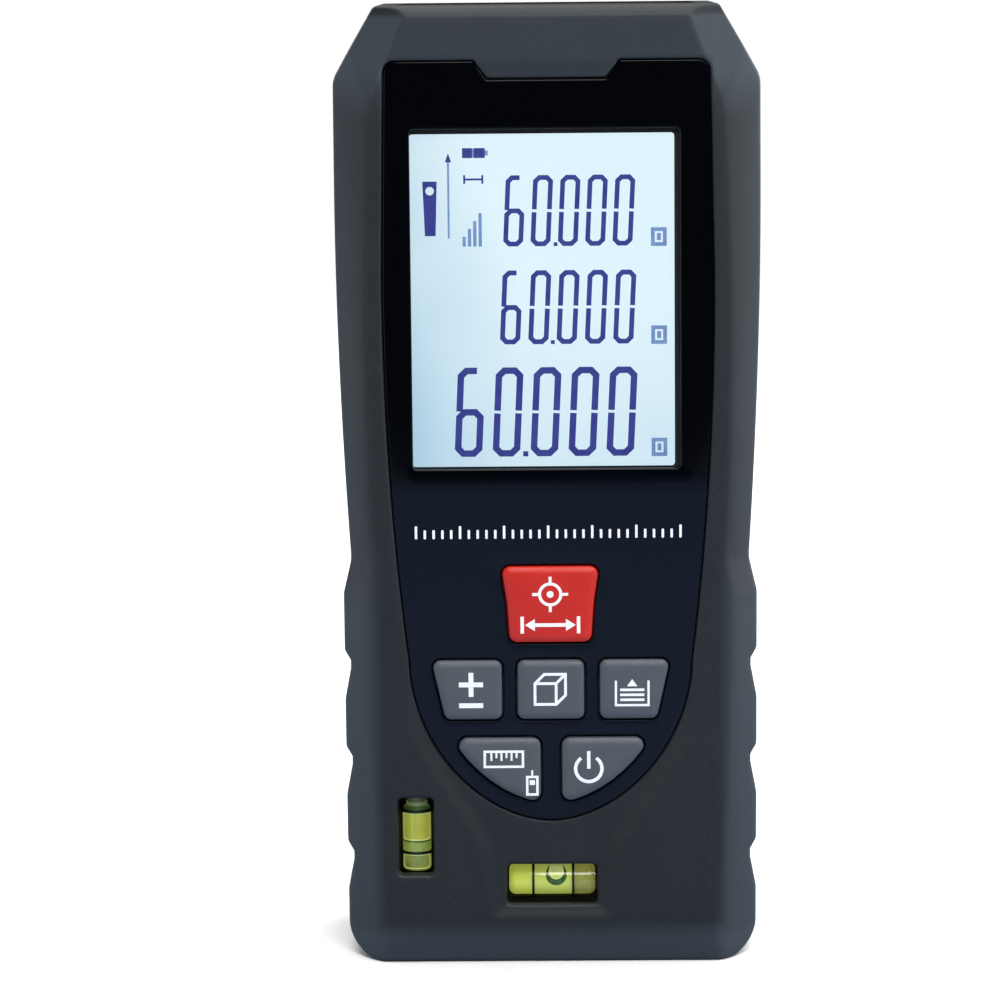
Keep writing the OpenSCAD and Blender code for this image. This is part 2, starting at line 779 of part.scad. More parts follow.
module conical_spring(len) {
    n = spring_turns * spring_steps;
    m = wire_sides;
    polyhedron(
        [for (i = [0 : n]) each spring_ring(i, n, len)],
        concat(
            [[for (k = [0 : m - 1]) k]],
            [for (i = [0 : n - 1], k = [0 : m - 1])
                [i * m + k, (i + 1) * m + k, (i + 1) * m + (k + 1) % m, i * m + (k + 1) % m]],
            [[for (k = [m - 1 : -1 : 0]) n * m + k]]
        )
    );
}

module contact_springs() color([0.75, 0.75, 0.77]) {
    translate([-cell_pitch / 2, cell_y, bay_z + contact_t]) conical_spring(spring_len);
    translate([cell_pitch / 2, cell_y, bay_top_z - contact_t]) rotate([180, 0, 0]) conical_spring(spring_len);
}

module bridge_contact() color([0.75, 0.75, 0.77])
    box(-bay_hw + 0.6, bay_hw - 0.6, cell_y - 4, cell_y + 4, bay_z, bay_z + contact_t);

module terminal_contacts() color([0.75, 0.75, 0.77]) for (side = [-1, 1]) {
    x = side * cell_pitch / 2;
    box(x - 4.2, x + 4.2, cell_y - 4, cell_y + 4, bay_top_z - contact_t, bay_top_z);
    box(x - 1.8, x + 1.8, board_back_y, cell_y - 4 + eps, bay_top_z - contact_t, bay_top_z);
}

notch_r = 2.2;

module finger_notch() {
    translate([0, back_y + 1.2, door_z[1] + 0.7]) rotate([0, 90, 0]) cylinder(r = notch_r, h = 9, center = true);
}

module door_outline() {
    span(-door_hw, door_hw, door_z[0], door_z[1]);
}

module battery_door() color([0.20, 0.21, 0.23]) difference() {
    union() {
        box(-door_hw, door_hw, door_y, back_y, hinge_z, door_z[1]);
        translate([-door_hw, hinge_y, hinge_z]) rotate([0, 90, 0]) cylinder(r = door_t / 2, h = 2 * door_hw);
        translate([-door_hw - stub_len, hinge_y, hinge_z])
            rotate([0, 90, 0]) cylinder(r = stub_r, h = 2 * (door_hw + stub_len));
    }
    for (side = [-1, 1]) box(side * 6 - 0.4, side * 6 + 0.4, door_y - 1, back_y + 1, door_z[1] - 7, door_z[1] + 1);
}

module door_foam() color([0.25, 0.25, 0.27])
    box(-8.5, 8.5, door_y - foam_t, door_y, bay_z + 12, bay_top_z - 12);

// ---- Spirit vials ----

level_half = level_at[1] + 0.9;
plumb_half = plumb_at[2] + 0.95;
ring_w = 0.28;
ring_depth = 0.1;
ring_reach = 2.45;

module tube(r, half) {
    difference() {
        cylinder(r = r, h = 2 * half, center = true);
        cylinder(r = r - vial_wall, h = 2 * half - 1.2, center = true);
        for (side = [-1, 1]) translate([0, 0, side * ring_reach]) ring(r, 1);
    }
}

module ring(r, reach) {
    difference() {
        cylinder(r = r + reach, h = ring_w, center = true);
        cylinder(r = r - ring_depth, h = ring_w + 1, center = true);
    }
}

module at_level() {
    translate([0, vial_y, level_at[0]]) rotate([0, 90, 0]) children();
}

module at_plumb() {
    translate([plumb_at[0], vial_y, plumb_at[1]]) children();
}

module horizontal_vial() color([0.85, 0.9, 0.7, 0.4]) at_level() tube(level_r, level_half);

module vertical_vial() color([0.85, 0.9, 0.7, 0.4]) at_plumb() tube(plumb_r, plumb_half);

module horizontal_vial_fluid() color([0.67, 0.71, 0.24]) difference() {
    at_level() cylinder(r = level_r - vial_wall - 0.02, h = 2 * level_half - 1.24, center = true);
    translate([0, vial_y, level_at[0] + 0.75]) sphere(1.3);
}

module vertical_vial_fluid() color([0.67, 0.71, 0.24]) difference() {
    at_plumb() cylinder(r = plumb_r - vial_wall - 0.02, h = 2 * plumb_half - 1.24, center = true);
    translate([plumb_at[0], vial_y, plumb_at[1] + plumb_half - 1.1]) sphere(1.4);
}

module vial_rings() color([0.05, 0.05, 0.05]) for (side = [-1, 1]) {
    at_level() translate([0, 0, side * ring_reach]) ring(level_r, 0);
    at_plumb() translate([0, 0, side * ring_reach]) ring(plumb_r, 0);
}

holder_back_y = vial_y + 3.5;

module horizontal_vial_holder() color([0.13, 0.14, 0.13]) difference() {
    box(-level_half - 1, level_half + 1, vial_seam_y, holder_back_y,
        level_at[0] - level_r - 1, level_at[0] + level_r + 1);
    at_level() cylinder(r = level_r + 0.05, h = 2 * level_half + 0.1, center = true);
}

module vertical_vial_holder() color([0.13, 0.14, 0.13]) difference() {
    box(plumb_at[0] - plumb_r - 1, plumb_at[0] + plumb_r + 1, vial_seam_y, holder_back_y,
        plumb_at[1] - plumb_half - 0.4, plumb_at[1] + plumb_half + 0.4);
    at_plumb() cylinder(r = plumb_r + 0.05, h = 2 * plumb_half + 0.1, center = true);
}

// ---- Fasteners ----

module tripod_bush() color([0.80, 0.68, 0.38]) difference() {
    bar_y(0, tripod_z, bush_r, bush_y, bush_y + tripod_len);
    bar_y(0, tripod_z, tripod_d / 2, bush_y - 1, back_y);
}

module case_screws() color([0.35, 0.35, 0.37]) for (side = [-1, 1], z = screw_zs) difference() {
    union() {
        bar_y(side * screw_x, z, head_r, head_y, head_y + head_t);
        bar_y(side * screw_x, z, pilot_r, face_y + 4.4, head_y + eps);
    }
    for (a = [0, 90]) translate([side * screw_x, head_y + head_t, z]) rotate([0, a, 0])
        cube([2.4, 1.6, 0.5], center = true);
}

front_shell();
rear_shell();
seam_gasket();
fascia();
display_lens();
lcd_glass();
lcd_backlight();
lcd_frame();
zebra_strip();
measure_key();
plus_minus_key();
function_key();
memory_key();
unit_key();
clear_key();
keypad_mat();
dome_switches();
main_board();
board_chips();
board_screws();
buzzer();
optics_frame();
optics_screws();
receiver_lens();
lens_ring();
laser_barrel();
collimator_lens();
laser_diode();
sensor_board();
detector();
sensor_ribbon();
end_plate();
laser_window();
left_battery();
right_battery();
contact_springs();
bridge_contact();
terminal_contacts();
battery_door();
door_foam();
horizontal_vial();
horizontal_vial_fluid();
horizontal_vial_holder();
vertical_vial();
vertical_vial_fluid();
vertical_vial_holder();
vial_rings();
tripod_bush();
case_screws();
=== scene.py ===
"""Looks of a hand-held laser distance meter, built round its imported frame.

Lengths are in millimetres in the frame's axes: X to the right, Y from the display to the back, Z up
along the beam. MM turns them into metres where meshes are made.
"""

import math

import bmesh
import bpy
import numpy as np
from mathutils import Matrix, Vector, geometry, kdtree


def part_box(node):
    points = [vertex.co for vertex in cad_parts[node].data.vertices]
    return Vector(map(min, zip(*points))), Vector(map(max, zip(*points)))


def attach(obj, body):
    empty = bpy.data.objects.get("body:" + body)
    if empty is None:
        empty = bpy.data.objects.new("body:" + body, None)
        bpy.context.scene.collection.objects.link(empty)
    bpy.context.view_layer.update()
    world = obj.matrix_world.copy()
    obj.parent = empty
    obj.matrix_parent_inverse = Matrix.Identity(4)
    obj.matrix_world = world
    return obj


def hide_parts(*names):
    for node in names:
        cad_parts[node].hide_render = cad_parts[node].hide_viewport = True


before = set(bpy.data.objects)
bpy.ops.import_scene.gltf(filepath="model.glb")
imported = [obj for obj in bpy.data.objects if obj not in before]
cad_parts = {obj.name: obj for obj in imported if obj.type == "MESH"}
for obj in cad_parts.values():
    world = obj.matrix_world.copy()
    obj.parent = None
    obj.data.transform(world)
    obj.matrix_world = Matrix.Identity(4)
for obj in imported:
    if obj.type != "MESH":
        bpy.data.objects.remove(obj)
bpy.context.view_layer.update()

MM = 0.001
HOUSING = "housing"


def box_mm(node):
    """Lowest and highest corner of a CAD node, in millimetres."""
    low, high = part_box(node)
    return low / MM, high / MM


SHELL_LOW, SHELL_HIGH = box_mm("front_shell")
FACE_Y = SHELL_LOW.y
SEAM_Y = SHELL_HIGH.y
BODY_H = SHELL_HIGH.z
SHOULDER = SHELL_HIGH.x
BACK_Y = box_mm("rear_shell")[1].y
FASCIA_Y, FLOOR_Y = box_mm("fascia")[0].y, box_mm("fascia")[1].y


# ---- Plane curves ----

ARC_STEP = math.radians(9)


def rounded(corners):
    """A closed loop through (x, y, radius) corners, each rounded with an arc."""
    loop = []
    for i, (x, y, radius) in enumerate(corners):
        here = Vector((x, y))
        before = Vector(corners[i - 1][:2]) - here
        after = Vector(corners[(i + 1) % len(corners)][:2]) - here
        half = before.angle(after) / 2
        if radius <= 0 or half > math.radians(89.9):
            loop.append(here)
            continue
        reach = min(radius / math.tan(half), 0.49 * before.length, 0.49 * after.length)
        radius = reach * math.tan(half)
        middle = (before.normalized() + after.normalized()).normalized()
        centre = here + middle * radius / math.sin(half)
        start = here + before.normalized() * reach - centre
        turn = math.pi - 2 * half
        if before.cross(after) > 0:
            turn = -turn
        count = max(2, math.ceil(abs(turn) / ARC_STEP))
        for k in range(count + 1):
            c, s = math.cos(turn * k / count), math.sin(turn * k / count)
            loop.append(centre + Vector((c * start.x - s * start.y, s * start.x + c * start.y)))
    return loop


def rounded_span(x0, x1, z0, z1, radius):
    return rounded([(x0, z0, radius), (x1, z0, radius), (x1, z1, radius), (x0, z1, radius)])


def quarter(count):
    """Angles that divide a quarter turn into count equal steps, both ends included."""
    return [math.pi / 2 * k / count for k in range(count + 1)]


def circle(x, z, radius, count=48):
    turns = [2 * math.pi * k / count for k in range(count)]
    return [Vector((x + radius * math.cos(a), z + radius * math.sin(a))) for a in turns]


def divided(loop, step):
    """The loop with points added where its sides are longer than step."""
    out = []
    for a, b in zip(loop, loop[1:] + loop[:1]):
        count = max(1, math.ceil((b - a).length / step))
        out += [a + (b - a) * k / count for k in range(count)]
    return out


def inset(loop, distance):
    """A counter-clockwise loop moved inwards point by point."""
    out = []
    for i, here in enumerate(loop):
        a = (here - loop[i - 1]).normalized()
        b = (loop[(i + 1) % len(loop)] - here).normalized()
        normal = Vector((-a.y - b.y, a.x + b.x)).normalized()
        share = max(0.5, normal.dot(Vector((-a.y, a.x))))
        out.append(here + normal * distance / share)
    return out


def mirrored(half):
    """A closed counter-clockwise outline from the corners of its right side, listed upwards."""
    return half + [(-x, z, *rest) for x, z, *rest in reversed(half)]


def coords(loop):
    return np.array([[p.x, p.y] for p in loop])


def inside(points, loop):
    """Which points lie inside the closed loop."""
    x, y = points[:, 0], points[:, 1]
    result = np.zeros(len(points), bool)
    ends = coords(loop)
    for (ax, ay), (bx, by) in zip(ends, np.roll(ends, -1, axis=0)):
        if ay != by:
            crosses = (ay > y) != (by > y)
            result ^= crosses & (x < ax + (y - ay) * (bx - ax) / (by - ay))
    return result


def depth_inside(points, loop):
    """Distance from each point to the loop, positive inside it and negative outside."""
    ends = coords(loop)
    best = np.full(len(points), 1e9)
    for a, b in zip(ends, np.roll(ends, -1, axis=0)):
        side = b - a
        t = np.clip(((points - a) @ side) / max(side @ side, 1e-9), 0, 1)
        best = np.minimum(best, np.hypot(*(points - a - t[:, None] * side).T))
    return np.where(inside(points, loop), best, -best)


def smooth_max(a, b, blend):
    overlap = np.maximum(blend - np.abs(a - b), 0) / blend
    return np.maximum(a, b) + overlap * overlap * blend / 4


def node_loop(node):
    """The outline of a convex node's front face, counter-clockwise, from the frame."""
    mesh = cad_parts[node].data
    front = box_mm(node)[0].y
    points = {
        (round(v.co.x / MM, 3), round(v.co.z / MM, 3))
        for v in mesh.vertices if v.co.y / MM < front + 0.01
    }
    middle = Vector((sum(p[0] for p in points), sum(p[1] for p in points))) / len(points)
    ordered = sorted(points, key=lambda p: math.atan2(p[1] - middle.y, p[0] - middle.x))
    return [Vector(p) for p in ordered]


# ---- Meshes ----

TURN_STEPS = 40
# Edges are sharp where their faces meet at more than this many degrees
SHARP = 38


def shade_smooth(mesh, angle):
    """Smooth shading, but for edges whose faces meet at more than the angle in degrees."""
    mesh.polygons.foreach_set("use_smooth", [True] * len(mesh.polygons))
    mesh.set_sharp_from_angle(angle=math.radians(angle))


class Piece:
    """Collects points and faces in millimetres, then makes an object that rides on a body."""

    def __init__(self):
        self.points = []
        self.faces = []

    def ring(self, points):
        start = len(self.points)
        self.points += [tuple(p) for p in points]
        return list(range(start, len(self.points)))

    def laid(self, loop, depths):
        """The ring of a plane loop, each point at its own depth."""
        return self.ring([(p.x, y, p.y) for p, y in zip(loop, depths)])

    def flat(self, loop, y):
        return self.laid(loop, [y] * len(loop))

    def bridge(self, rings, closed=True, skip=None):
        for low, high in zip(rings, rings[1:]):
            count = len(low)
            for i in range(count if closed else count - 1):
                j = (i + 1) % count
                if not (skip and skip(i, j)):
                    self.faces.append((low[i], low[j], high[j], high[i]))

    def fill(self, ring):
        self.faces.append(tuple(ring))

    def solid(self, rings):
        """A tube through the rings, closed at both ends."""
        self.bridge(rings)
        self.fill(rings[0])
        self.fill(rings[-1])

    def sheet(self, outer, holes, step, place):
        """Fills the area between the outer loop and the holes, each point put in space by place."""
        loops = [outer] + holes
        rim = [p for loop in loops for p in loop]
        edges = []
        start = 0
        for loop in loops:
            n = len(loop)
            edges += [(start + i, start + (i + 1) % n) for i in range(n)]
            start += n
        area = coords(outer)
        low, high = area.min(0), area.max(0)
        rows = np.arange(low[1], high[1], step * 0.866)
        across = np.arange(low[0], high[0], step)
        grid = np.array([(x + step / 2 * (k % 2), z) for k, z in enumerate(rows) for x in across])
        grid = grid.reshape(-1, 2)
        keep = inside(grid, outer)
        for hole in holes:
            keep &= ~inside(grid, hole)
        tree = kdtree.KDTree(len(rim))
        for i, p in enumerate(rim):
            tree.insert((p.x, p.y, 0), i)
        tree.balance()
        free = [Vector(p) for p in grid[keep] if tree.find((p[0], p[1], 0))[2] > step * 0.55]
        made = geometry.delaunay_2d_cdt(rim + free, edges, [], 0, 1e-6)
        flat, triangles = coords(made[0]), np.array(made[2])
        centres = flat[triangles].mean(1)
        keep = inside(centres, outer)
        for hole in holes:
            keep &= ~inside(centres, hole)
        ring = self.ring(place(flat))
        self.faces += [tuple(ring[i] for i in t) for t in triangles[keep]]

    def flat_sheet(self, outer, holes, step, y):
        self.sheet(outer, holes, step, lambda points: [(x, y, z) for x, z in points])

    def prism(self, loop, y0, y1):
        """A flat plate of the loop between two depths."""
        self.solid([self.flat(loop, y0), self.flat(loop, y1)])

    def build(self, name, material, slot=None, body=HOUSING, replaces=(), sharp=SHARP, ride=True):
        mesh = bpy.data.meshes.new(name)
        mesh.from_pydata([[c * MM for c in p] for p in self.points], [], self.faces)
        work = bmesh.new()
        work.from_mesh(mesh)
        bmesh.ops.remove_doubles(work, verts=work.verts, dist=0.002 * MM)
        bmesh.ops.dissolve_degenerate(work, edges=work.edges, dist=0.001 * MM)
        bmesh.ops.recalc_face_normals(work, faces=work.faces)
        work.to_mesh(mesh)
        work.free()
        shade_smooth(mesh, sharp)
        piece = bpy.data.objects.new(name, mesh)
        bpy.context.scene.collection.objects.link(piece)
        mesh.materials.append(material)
        if ride:
            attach(piece, body)
        if replaces:
            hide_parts(*replaces)
        return piece


def rim_rings(piece, loop, radius, gap, surface, towards, floor):
    """A rounded rim round a hole, from the surface down to a wall that ends at the floor depth.

    The wall lies gap outside the loop, and the rim starts radius further out."""
    rings = []
    levels = surface(coords(inset(loop, -gap - radius)))
    for a in quarter(4):
        line = inset(loop, -gap - radius * (1 - math.sin(a)))
        drop = radius * (1 - math.cos(a))
        rings.append(piece.laid(line, [y + towards * drop for y in levels]))
    rings.append(piece.flat(inset(loop, -gap), floor))
    piece.bridge(rings)
    return rings[-1]


# ---- Materials ----

def srgb(r, g, b):
    """Linear colour of an 8-bit display colour."""
    return [((c / 255 + 0.055) / 1.055) ** 2.4 if c > 10 else c / 255 / 12.92 for c in (r, g, b)] + [1.0]


def shade(colour, share):
    return [min(1.0, c * share) for c in colour[:3]] + [1.0]


class Nodes:
    """Shorthand for one material's node tree."""

    def __init__(self, name):
        self.material = bpy.data.materials.new(name)
        self.material.use_nodes = True
        self.tree = self.material.node_tree
        self.shader = self.tree.nodes["Principled BSDF"]
        self.place = self.add("TexCoord").outputs["Object"]

    def add(self, kind, **inputs):
        node = self.tree.nodes.new("ShaderNode" + kind)
        for key, value in inputs.items():
            self.feed(node, key.replace("_", " "), value)
        return node

    def feed(self, node, key, value):
        """Links the value to an input where it comes from a node, and otherwise sets the input to it."""
        if isinstance(value, bpy.types.NodeSocket):
            self.tree.links.new(value, node.inputs[key])
        else:
            node.inputs[key].default_value = value

    def noise(self, size, detail=3.0, roughness=0.55):
        """Noise whose grains measure about size millimetres."""
        scale = 1 / (size * MM)
        node = self.add("TexNoise", Vector=self.place, Scale=scale, Detail=detail, Roughness=roughness)
        return node.outputs["Fac"]

    def cells(self, size):
        """A cell texture whose cells measure about size millimetres."""
        return self.add("TexVoronoi", Vector=self.place, Scale=1 / (size * MM))

    def ramp(self, value, low, high, to_low, to_high):
        ends = {"From_Min": low, "From_Max": high, "To_Min": to_low, "To_Max": to_high}
        return self.add("MapRange", Value=value, **ends).outputs["Result"]

    def span(self, value, low, high, to_low=0.0, to_high=1.0):
        """A ramp over a stretch given in millimetres."""
        return self.ramp(value, low * MM, high * MM, to_low, to_high)

    def vary(self, noise, to_low=0.0, to_high=1.0):
        """A ramp over the part of its range that a noise mostly stays in."""
        return self.ramp(noise, 0.3, 0.7, to_low, to_high)

    def mix(self, factor, a, b):
        node = self.add("Mix")
        node.data_type = "RGBA"
        for key, value in ((0, factor), (6, a), (7, b)):
            self.feed(node, key, value)
        return node.outputs[2]

    def math(self, operation, a, b):
        node = self.add("Math")
        node.operation = operation
        self.feed(node, 0, a)
        self.feed(node, 1, b)
        return node.outputs[0]

    def axis(self, name):
        return self.add("SeparateXYZ", Vector=self.place).outputs[name]

    def bump(self, height, distance):
        return self.add("Bump", Height=height, Distance=distance * MM).outputs["Normal"]

    def set(self, **inputs):
        for key, value in inputs.items():
            self.feed(self.shader, key.replace("_", " "), value)


def plain(name, tone, rough, metal=0.0, grain=0.2, depth=0.01, mottle=0.08, patch=6.0, specular=0.5):
    """A moulded or machined finish: broad mottling, roughness that varies with it, and a fine grain.

    tone is an 8-bit colour, and grain, depth and patch are in millimetres."""
    n = Nodes(name)
    colour = srgb(*tone)
    broad = n.noise(patch)
    n.set(
        Base_Color=n.mix(n.vary(broad), shade(colour, 1 - mottle), shade(colour, 1 + mottle)),
        Roughness=n.vary(broad, rough * 0.9, min(1.0, rough * 1.12)),
        Metallic=metal,
        Normal=n.bump(n.noise(grain, detail=4.0), depth),
        Specular_IOR_Level=specular,
    )
    return n.material


def housing_finish():
    """Dark grey ABS with a fine spark-eroded texture, and painted highlights on its grip sides, long bevels,
    foot and head.
    """
    n = Nodes("housing_plastic")
    broad = n.noise(9.0, detail=2.0)
    speck = n.noise(0.16, detail=2.0)
    height = n.axis("Z")
    across = n.math("ABSOLUTE", n.axis("X"), 0.0)
    # Painted highlight on the grip sides, up to the waist
    grip = n.math("MULTIPLY", n.span(across, 20.6, 22.2), n.span(height, 44, 54, 0.64, 0.0))
    # Painted highlight on the outer part of the long bevels
    outer = n.span(height, 50, 86, 24.5 * MM, 26.0 * MM)
    long_edge = n.span(n.math("SUBTRACT", outer, across), 2.6, 0.0, 0.0, 0.46)
    # Painted light on the foot, lighter towards the bottom
    foot = n.span(height, 3.0, 5.4, 1.0, 0.0)
    # Painted highlight on the head above the fascia, most of all its corner facets, but not its top bevel
    lean_x = n.math("MULTIPLY", across, math.cos(FACET_LEAN))
    lean_z = n.math("MULTIPLY", height, math.sin(FACET_LEAN))
    slant = n.math("ADD", lean_x, lean_z)
    corner = n.span(slant, FACET_REACH, FACET_REACH + 0.3, 0.44, 1.0)
    crown = n.span(height, BODY_H - 1.5, BODY_H - 0.8, 1.0, 0.0)
    head = n.math("MULTIPLY", n.math("MULTIPLY", n.span(height, 104, 110), corner), crown)
    # All the painted highlights together; they lighten the grey towards the pale highlight colour
    painted_highlight = n.math("MAXIMUM", n.math("MAXIMUM", grip, long_edge), n.math("MAXIMUM", foot, head))
    grey = n.mix(n.vary(broad), HOUSING_DARK, HOUSING_LIGHT)
    grey_with_painted_highlight = n.mix(painted_highlight, grey, HOUSING_SPECK_AND_HIGHLIGHT)
    n.set(
        Base_Color=n.mix(n.ramp(speck, 0.35, 0.75, 0.0, 0.22), grey_with_painted_highlight, shade(HOUSING_SPECK_AND_HIGHLIGHT, 1.3)),
        Roughness=n.vary(speck, 0.46, 0.6),
        Normal=n.bump(n.noise(0.22, detail=5.0, roughness=0.6), 0.012),
        Specular_IOR_Level=0.42,
    )
    return n.material


def fascia_finish():
    """Gloss black round the display, turning to a dark blue-grey satin below it."""
    n = Nodes("fascia_plastic")
    height = n.span(n.axis("Z"), FASCIA_SPLIT - 1.2, FASCIA_SPLIT + 1.2)
    broad = n.noise(14.0, detail=2.0)
    low = n.mix(n.vary(broad), shade(FASCIA_LOW, 0.94), shade(FASCIA_LOW, 1.06))
    n.set(
        Base_Color=n.mix(height, low, FASCIA_HIGH),
        Roughness=n.ramp(height, 0.0, 1.0, 0.22, 0.1),
        Normal=n.bump(n.noise(1.6, detail=1.0), 0.001),
        Specular_IOR_Level=0.14,
    )
    return n.material


def clear_finish(name, tint, rough=0.02):
    """Thin clear plastic: lets light straight through, tinted, with a gloss at its surface.

    Light isn't bent on its way in, so only the outer side of each face mirrors it."""
    n = Nodes(name)
    through = n.add("BsdfTransparent", Color=tint)
    gloss = n.add("BsdfGlossy", Roughness=n.vary(n.noise(3.0, detail=6.0), rough, rough * 3))
    fresnel = n.add("Fresnel", IOR=CLEAR_IOR)
    outside = n.math("SUBTRACT", 1.0, n.add("NewGeometry").outputs["Backfacing"])
    mixed = n.add("MixShader")
    n.feed(mixed, 0, n.math("MULTIPLY", fresnel.outputs[0], outside))
    n.feed(mixed, 1, through.outputs[0])
    n.feed(mixed, 2, gloss.outputs[0])
    n.feed(n.tree.nodes["Material Output"], "Surface", mixed.outputs[0])
    n.tree.nodes.remove(n.shader)
    return n.material


def glowing(name, one, other, glow, patch=12.0, rough=0.3):
    """A surface that gives off light of its own: the display's inks, lit from behind by its backlight, and
    painted glow on the white print and the vials' liquid and bubbles.
    """
    n = Nodes(name)
    tone = n.mix(n.vary(n.noise(patch, detail=1.0)), srgb(*one), srgb(*other))
    n.set(Base_Color=tone, Roughness=rough, Emission_Color=tone, Emission_Strength=glow)
    return n.material


CLEAR_IOR = 1.45
HOUSING_DARK = srgb(20, 23, 27)
HOUSING_LIGHT = srgb(25, 29, 33)
# The pale colour of the painted highlights on the housing, also used 30% lighter for its flecks
HOUSING_SPECK_AND_HIGHLIGHT = srgb(56, 64, 71)
FACET_LEAN = math.radians(21)
FACET_REACH = 16.9 * math.cos(FACET_LEAN) + (BODY_H - 0.9) * math.sin(FACET_LEAN)
FASCIA_SPLIT = 60.0
FASCIA_HIGH = srgb(3, 4, 8)
FASCIA_LOW = srgb(14, 21, 34)

shell_material = housing_finish()
fascia_material = fascia_finish()
# Painted glow: the white print gives off light of its own
print_white = glowing("white_print_painted_glow", (240, 242, 244), (228, 231, 234), 0.3, patch=1.0, rough=0.5)
lcd_ink = glowing("display_ink", (40, 42, 122), (48, 56, 124), 0.42, patch=2.0, rough=0.5)
lcd_ink_pale = glowing("display_ink_pale", (96, 122, 166), (112, 136, 176), 0.5, patch=2.0, rough=0.5)


# ---- Outline of the housing ----

GRIP = SHOULDER - 0.5
WAIST = SHOULDER - 1.5
GRIP_TOP = 46.2
WAIST_Z = 50.4
SHOULDER_Z = 96.0
GROOVES = [12.5 + 12.2 * k for k in range(3)]
GROOVE_DEPTH = 0.8
GROOVE_RAMP = 4.1
FOOT_R = 6.0
CANT_TOP = SHOULDER - 5.2
CANT_LEAN = math.radians(30.4)
CANT_FOOT = BODY_H - (SHOULDER - CANT_TOP) / math.tan(CANT_LEAN)


def waist_curve(z):
    """Half-width of the housing between its waist and its shoulder."""
    return SHOULDER - (SHOULDER - WAIST) * ((SHOULDER_Z - z) / (SHOULDER_Z - WAIST_Z)) ** 1.9


def housing_outline():
    """The housing from the front: foot, grooves, waist, shoulder and canted corner of each side."""
    side = [(GRIP, 0, FOOT_R)]
    for z in GROOVES:
        side += [
            (GRIP, z - GROOVE_RAMP, 3.0), (GRIP - GROOVE_DEPTH, z, 0.6),
            (GRIP - GROOVE_DEPTH, z + 1, 0.35), (GRIP, z + 2.1, 0.9),
        ]
    side += [(GRIP, GRIP_TOP, 2.5), (WAIST, WAIST_Z, 4.0)]
    for k in range(1, 17):
        z = WAIST_Z + (SHOULDER_Z - WAIST_Z) * k / 16
        side.append((waist_curve(z), z, 0))
    side += [(SHOULDER, CANT_FOOT, 3.4), (CANT_TOP, BODY_H, 0.8)]
    return divided(rounded(mirrored(side)), 0.6)


def half_width(z):
    """Half-width of the housing without its grooves."""
    below = np.interp(z, [0, GRIP_TOP, WAIST_Z], [GRIP, GRIP, WAIST])
    return np.where(z < WAIST_Z, below, waist_curve(np.clip(z, WAIST_Z, SHOULDER_Z)))


OUTLINE = housing_outline()


# ---- Outlines of the fascia, windows and keys ----

FASCIA_TOP = BODY_H - 6.6
FASCIA_LOW_Z = box_mm("fascia")[0].z
FASCIA_HW = box_mm("fascia")[1].x
CURVE_Z = 38.0
CURVE_DRAW = 2.8
CURVE_HW = FASCIA_HW - CURVE_DRAW
CURVE_POWER = 1.081
WIDEST_Z = 85.0
TAB = [(7.25, -2.25), (8.8, 0)]


def fascia_outline():
    """The U shape of the fascia, with the tab of the housing in its top edge."""
    side = []
    for a in quarter(28)[1:]:
        x = CURVE_HW * math.sin(a) ** CURVE_POWER
        z = CURVE_Z - (CURVE_Z - FASCIA_LOW_Z) * math.cos(a) ** CURVE_POWER
        side.append((x, z, 0))
    for i in range(1, 17):
        z = CURVE_Z + (WIDEST_Z - CURVE_Z) * i / 16
        share = (WIDEST_Z - z) / (WIDEST_Z - CURVE_Z)
        side.append((FASCIA_HW - CURVE_DRAW * share ** 2.1, z, 0))
    side.append((FASCIA_HW - 0.5, FASCIA_TOP, 1.4))
    side += [(x, FASCIA_TOP + z, 0.3) for x, z in reversed(TAB)]
    return divided(rounded([(0, FASCIA_LOW_Z, 0)] + mirrored(side)), 0.7)


KEYS = ["measure_key", "plus_minus_key", "function_key", "memory_key", "unit_key", "clear_key"]
FASCIA = fascia_outline()
key_loops = {key: divided(node_loop(key), 0.6) for key in KEYS}
pane_low, pane_high = box_mm("display_lens")
PANE = divided(rounded_span(pane_low.x, pane_high.x, pane_low.z, pane_high.z, 0.4), 1.5)


def window(x, z, half_x, half_z):
    return divided(rounded_span(x - half_x, x + half_x, z - half_z, z + half_z, 0.6), 0.6)


# The level vial lies across the foot and the plumb vial stands at the left
LEVEL_Z = 9.9
PLUMB_X, PLUMB_Z = -16.8, 16.15
VIAL_Y = -10.1
LEVEL_WINDOW = window(0, LEVEL_Z, 5.6, 2.5)
PLUMB_WINDOW = window(PLUMB_X, PLUMB_Z, 2.2, 4.85)


# ---- Housing shells ----

# Outer edge of the dish round the fascia and the level vial
SHIELD = rounded(mirrored([
    (7.4, 5.7, 1.2), (9.1, 15.4, 5.0), (17.4, 28.5, 11.0), (18.9, 45.0, 40.0),
    (19.9, 70.0, 0), (19.9, FASCIA_TOP, 0),
]))
DISH = 0.6
# The long bevels: least width and its height, fall over width, and how much they steepen outwards,
# where 1 would leave them flat
BEVEL_W, BEVEL_Z = 3.8, 48
BEVEL_FALL = 0.94
BEVEL_CROWN = 1.5


